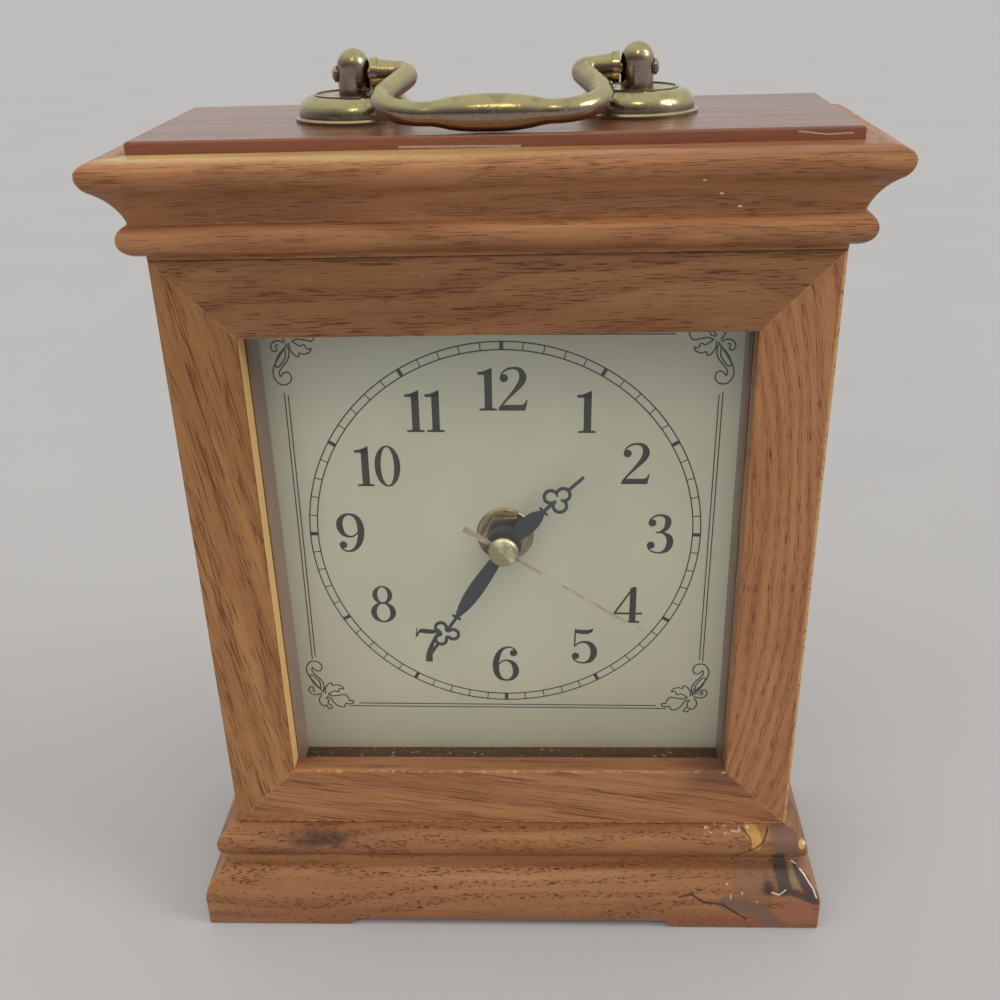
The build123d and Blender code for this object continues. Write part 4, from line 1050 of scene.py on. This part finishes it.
def ease_edges(node, width_mm):
    """Round a wooden node's arrises a little with modifiers."""
    obj = frame["nodes"][node]
    weld = obj.modifiers.new("weld", "WELD")
    weld.merge_threshold = weld_mm * MM
    bevel = obj.modifiers.new("ease", "BEVEL")
    bevel.width = width_mm * MM
    bevel.segments = 2
    bevel.limit_method = "ANGLE"
    bevel.angle_limit = math.radians(ease_angle)
    bevel.harden_normals = False
    normals = obj.modifiers.new("normals", "WEIGHTED_NORMAL")
    normals.keep_sharp = False


def paint(node, material):
    """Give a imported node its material."""
    obj = frame["nodes"][node]
    obj.data.materials.clear()
    obj.data.materials.append(material)


def dress_oak():
    """Stained oak for the case's own boards, each with its own grain."""
    left_marks, right_marks = stile_marks()
    top_marks, bottom_marks = rail_marks()
    boards = {
        # Depth 0.62 darkens the top rail as painted shade under the crown
        "front_rail_top": dict(
            seed=1.3, tilt=70.0, ring_width_mm=5.0, tones=rose_tones, depth=0.62, pores=0.95, pore_mm=7.0,
            pore_width_mm=0.33, gold=0.1, marks=top_marks,
        ),
        "front_rail_bottom": dict(
            lean=9.0, seed=2.1, tilt=20.0, ring_width_mm=6.0, tones=rose_tones, depth=0.86, pore_mm=14.0,
            bands=0.15, streaks=0.75, gold=0.2, marks=bottom_marks,
        ),
        "front_stile_left": dict(
            along="Z", across="X", lean=10.0, seed=3.7, tilt=15.0, ring_width_mm=7.0, tones=amber_tones,
            pores=0.75, pore_mm=8.0, pore_width_mm=0.36, bands=0.2, streaks=0.85, gold=0.35, marks=left_marks,
        ),
        "front_stile_right": dict(
            along="Z", across="X", bow=0.00166, seed=4.4, tilt=15.0, ring_width_mm=4.0, tones=rose_tones,
            depth=0.87, pores=0.8, pore_mm=5.0, pore_width_mm=0.26, bands=0.25, streaks=0.4, gold=0.35,
            marks=right_marks,
        ),
        "crown_moulding_front": dict(seed=5.2, tilt=60.0, tones=rose_tones, gold=0.3, marks=crown_marks()),
        "crown_moulding_left": dict(along="Y", across="Z", seed=5.9, tilt=50.0, tones=rose_tones),
        "crown_moulding_right": dict(along="Y", across="Z", seed=6.3, tilt=50.0, tones=rose_tones),
        "base_moulding_front": dict(
            seed=7.7, tilt=60.0, tones=rose_tones, depth=0.72, pores=1.0, pore_mm=1.9, pore_width_mm=0.46,
            bands=0.2, streaks=0.15, gold=0.4, marks=base_marks(),
        ),
        "base_moulding_left": dict(along="Y", across="Z", seed=8.1, tilt=50.0, tones=rose_tones, depth=0.72),
        "base_moulding_right": dict(along="Y", across="Z", seed=8.6, tilt=50.0, tones=rose_tones, depth=0.72),
        "base_rail_back": dict(seed=9.5),
        "side_panel_left": dict(along="Z", across="Y", lean=3.0, seed=10.4, tilt=12.0, ring_width_mm=7.0),
        "side_panel_right": dict(along="Z", across="Y", lean=-4.0, seed=11.8, tilt=12.0, ring_width_mm=7.0),
        "frieze_rail": dict(seed=12.2),
        "back_rail_top": dict(seed=13.6),
        "back_door": dict(along="Z", across="X", lean=2.0, seed=14.9, tilt=10.0, ring_width_mm=8.0),
        "top_board": dict(
            across="Y", seed=15.5, ring_width_mm=7.0, tones=top_tones, gloss=0.7, marks=board_marks(),
        ),
    }
    for node, facts in boards.items():
        paint(node, wood("oak_" + node, **facts))
        if node not in drilled_boards:
            ease_edges(node, oak_ease_mm)


def dress_bare_wood():
    """Bare softwood inside the case, by node with the axes along and across its grain."""
    boards = {
        "bottom_board": ("X", "Y"), "plinth_blocks": ("Z", "X"), "dial_cleat_left": ("Z", "X"),
        "dial_cleat_right": ("Z", "X"), "catch_block": ("Z", "X"),
    }
    for seed, (node, (along, across)) in enumerate(boards.items(), first_bare_seed):
        finish = wood(
            "bare_" + node, along, across, seed=seed, tones=bare_tones, gloss=0.0, pores=0.25, wear=0.2,
        )
        paint(node, finish)
        ease_edges(node, bare_ease_mm)


def metal_finishes():
    """Each metal with the nodes that it covers."""
    # The handle's brass, with painted shade and painted reflection on its lower faces
    aged_brass = metal(
        "aged_brass", (0.55, 0.50, 0.25), (0.36, 0.32, 0.17), roughness=0.12, tarnish_share=0.7,
        pitting=0.5, painted_underside_shade=(0.33, 0.255, 0.21),
    )
    dark_brass = metal(
        "dark_brass", (0.46, 0.37, 0.21), (0.22, 0.18, 0.115), roughness=0.15, tarnish_share=0.5,
    )
    fine_brass = metal(
        "turned_brass", (0.72, 0.55, 0.25), (0.42, 0.33, 0.14), roughness=0.2, tarnish_share=0.35,
    )
    gilt = metal(
        "pale_gilt", (1.0, 0.90, 0.58), (0.92, 0.80, 0.48), roughness=0.32, tarnish_share=0.1,
        dull=0.08, metallic=0.65,
    )
    needle = metal(
        "needle_gilt", (0.96, 0.83, 0.68), (0.80, 0.68, 0.54), roughness=0.45, tarnish_share=0.2,
    )
    zinc = metal(
        "zinc_plate", (0.58, 0.58, 0.60), (0.40, 0.40, 0.40), roughness=0.34, tarnish_share=0.4,
    )
    return {
        aged_brass: [
            "handle_rosette_left", "handle_rosette_right", "handle_post_left", "handle_post_right", "bail",
        ],
        dark_brass: ["shaft_bush", "dial_washer", "dial_nut"],
        fine_brass: [
            "case_hinge_leaves", "case_hinge_screws", "hinge_pins", "door_hinge_leaves", "door_hinge_screws",
            "door_pull", "hour_pipe", "minute_pipe",
        ],
        gilt: ["centre_cap"],
        needle: ["second_hand"],
        zinc: [
            "plinth_screws", "cleat_screws", "battery_contacts", "handle_washers", "handle_nuts",
            "catch_magnet", "catch_plate",
        ],
    }


def other_finishes():
    """Paint, strips, plastic, rubber, hardboard, dial and glass, each with its nodes."""
    surfaces = {
        "hand_paint": dict(
            nodes=["hour_hand", "minute_hand"], colour=(0.018, 0.022, 0.030), roughness=0.42, speckle=0.15,
            grain_mm=0.5, bump_mm=0.008,
        ),
        # One spacer paint in a lit and a shaded copy: the left strip's is lighter as painted light, the right
        # strip's darker as painted shade
        "spacer_paint_lit": dict(
            nodes=["spacer_strip_left"], colour=(0.42, 0.265, 0.215), roughness=0.55, speckle=0.2,
            grain_mm=1.6, bump_mm=0.05,
        ),
        "spacer_paint_shaded": dict(
            nodes=["spacer_strip_right"], colour=(0.26, 0.165, 0.135), roughness=0.55, speckle=0.2,
            grain_mm=1.6, bump_mm=0.05,
        ),
        "black_plastic": dict(
            nodes=["movement_case", "movement_cover", "set_knob"], colour=(0.022, 0.022, 0.024),
            roughness=0.5, speckle=0.15, grain_mm=0.35, bump_mm=0.03,
        ),
        "rubber_sheet": dict(
            nodes=["rubber_gasket"], colour=(0.018, 0.018, 0.018), roughness=0.85, speckle=0.1,
            grain_mm=0.5, bump_mm=0.03,
        ),
        "hardboard": dict(
            nodes=["dial_backer"], colour=(0.20, 0.12, 0.065), roughness=0.75, speckle=0.25,
            grain_mm=0.7, bump_mm=0.08,
        ),
        "cell_sleeve": dict(
            nodes=["battery"], colour=(0.05, 0.09, 0.065), roughness=0.28, speckle=0.06,
            grain_mm=1.2, bump_mm=0.003, Coat_Weight=0.5,
        ),
    }
    finishes = {}
    for name, facts in surfaces.items():
        nodes = facts.pop("nodes")
        finishes[plain(name, **facts)] = nodes
    finishes[dial_finish()] = ["dial_plate"]
    finishes[glass_finish()] = ["glass_pane"]
    return finishes


def dress_rest():
    """The nodes that aren't of wood."""
    for material, nodes in (metal_finishes() | other_finishes()).items():
        for node in nodes:
            paint(node, material)


def print_dial():
    """All the printing on the dial, in one ink."""
    ink = plain("dial_ink", (0.014, 0.018, 0.013), roughness=0.6, speckle=0.2, grain_mm=1.5, bump_mm=0.0)
    print_piece("dial_ring_print", minute_ring(), ink)
    print_piece("dial_border_print", borders(), ink)
    print_piece("dial_ornaments", ornaments(), ink)
    print_piece("dial_numerals", numerals(), ink)


make_camera()
make_lights()
make_stage()
dress_oak()
dress_bare_wood()
dress_rest()
print_dial()
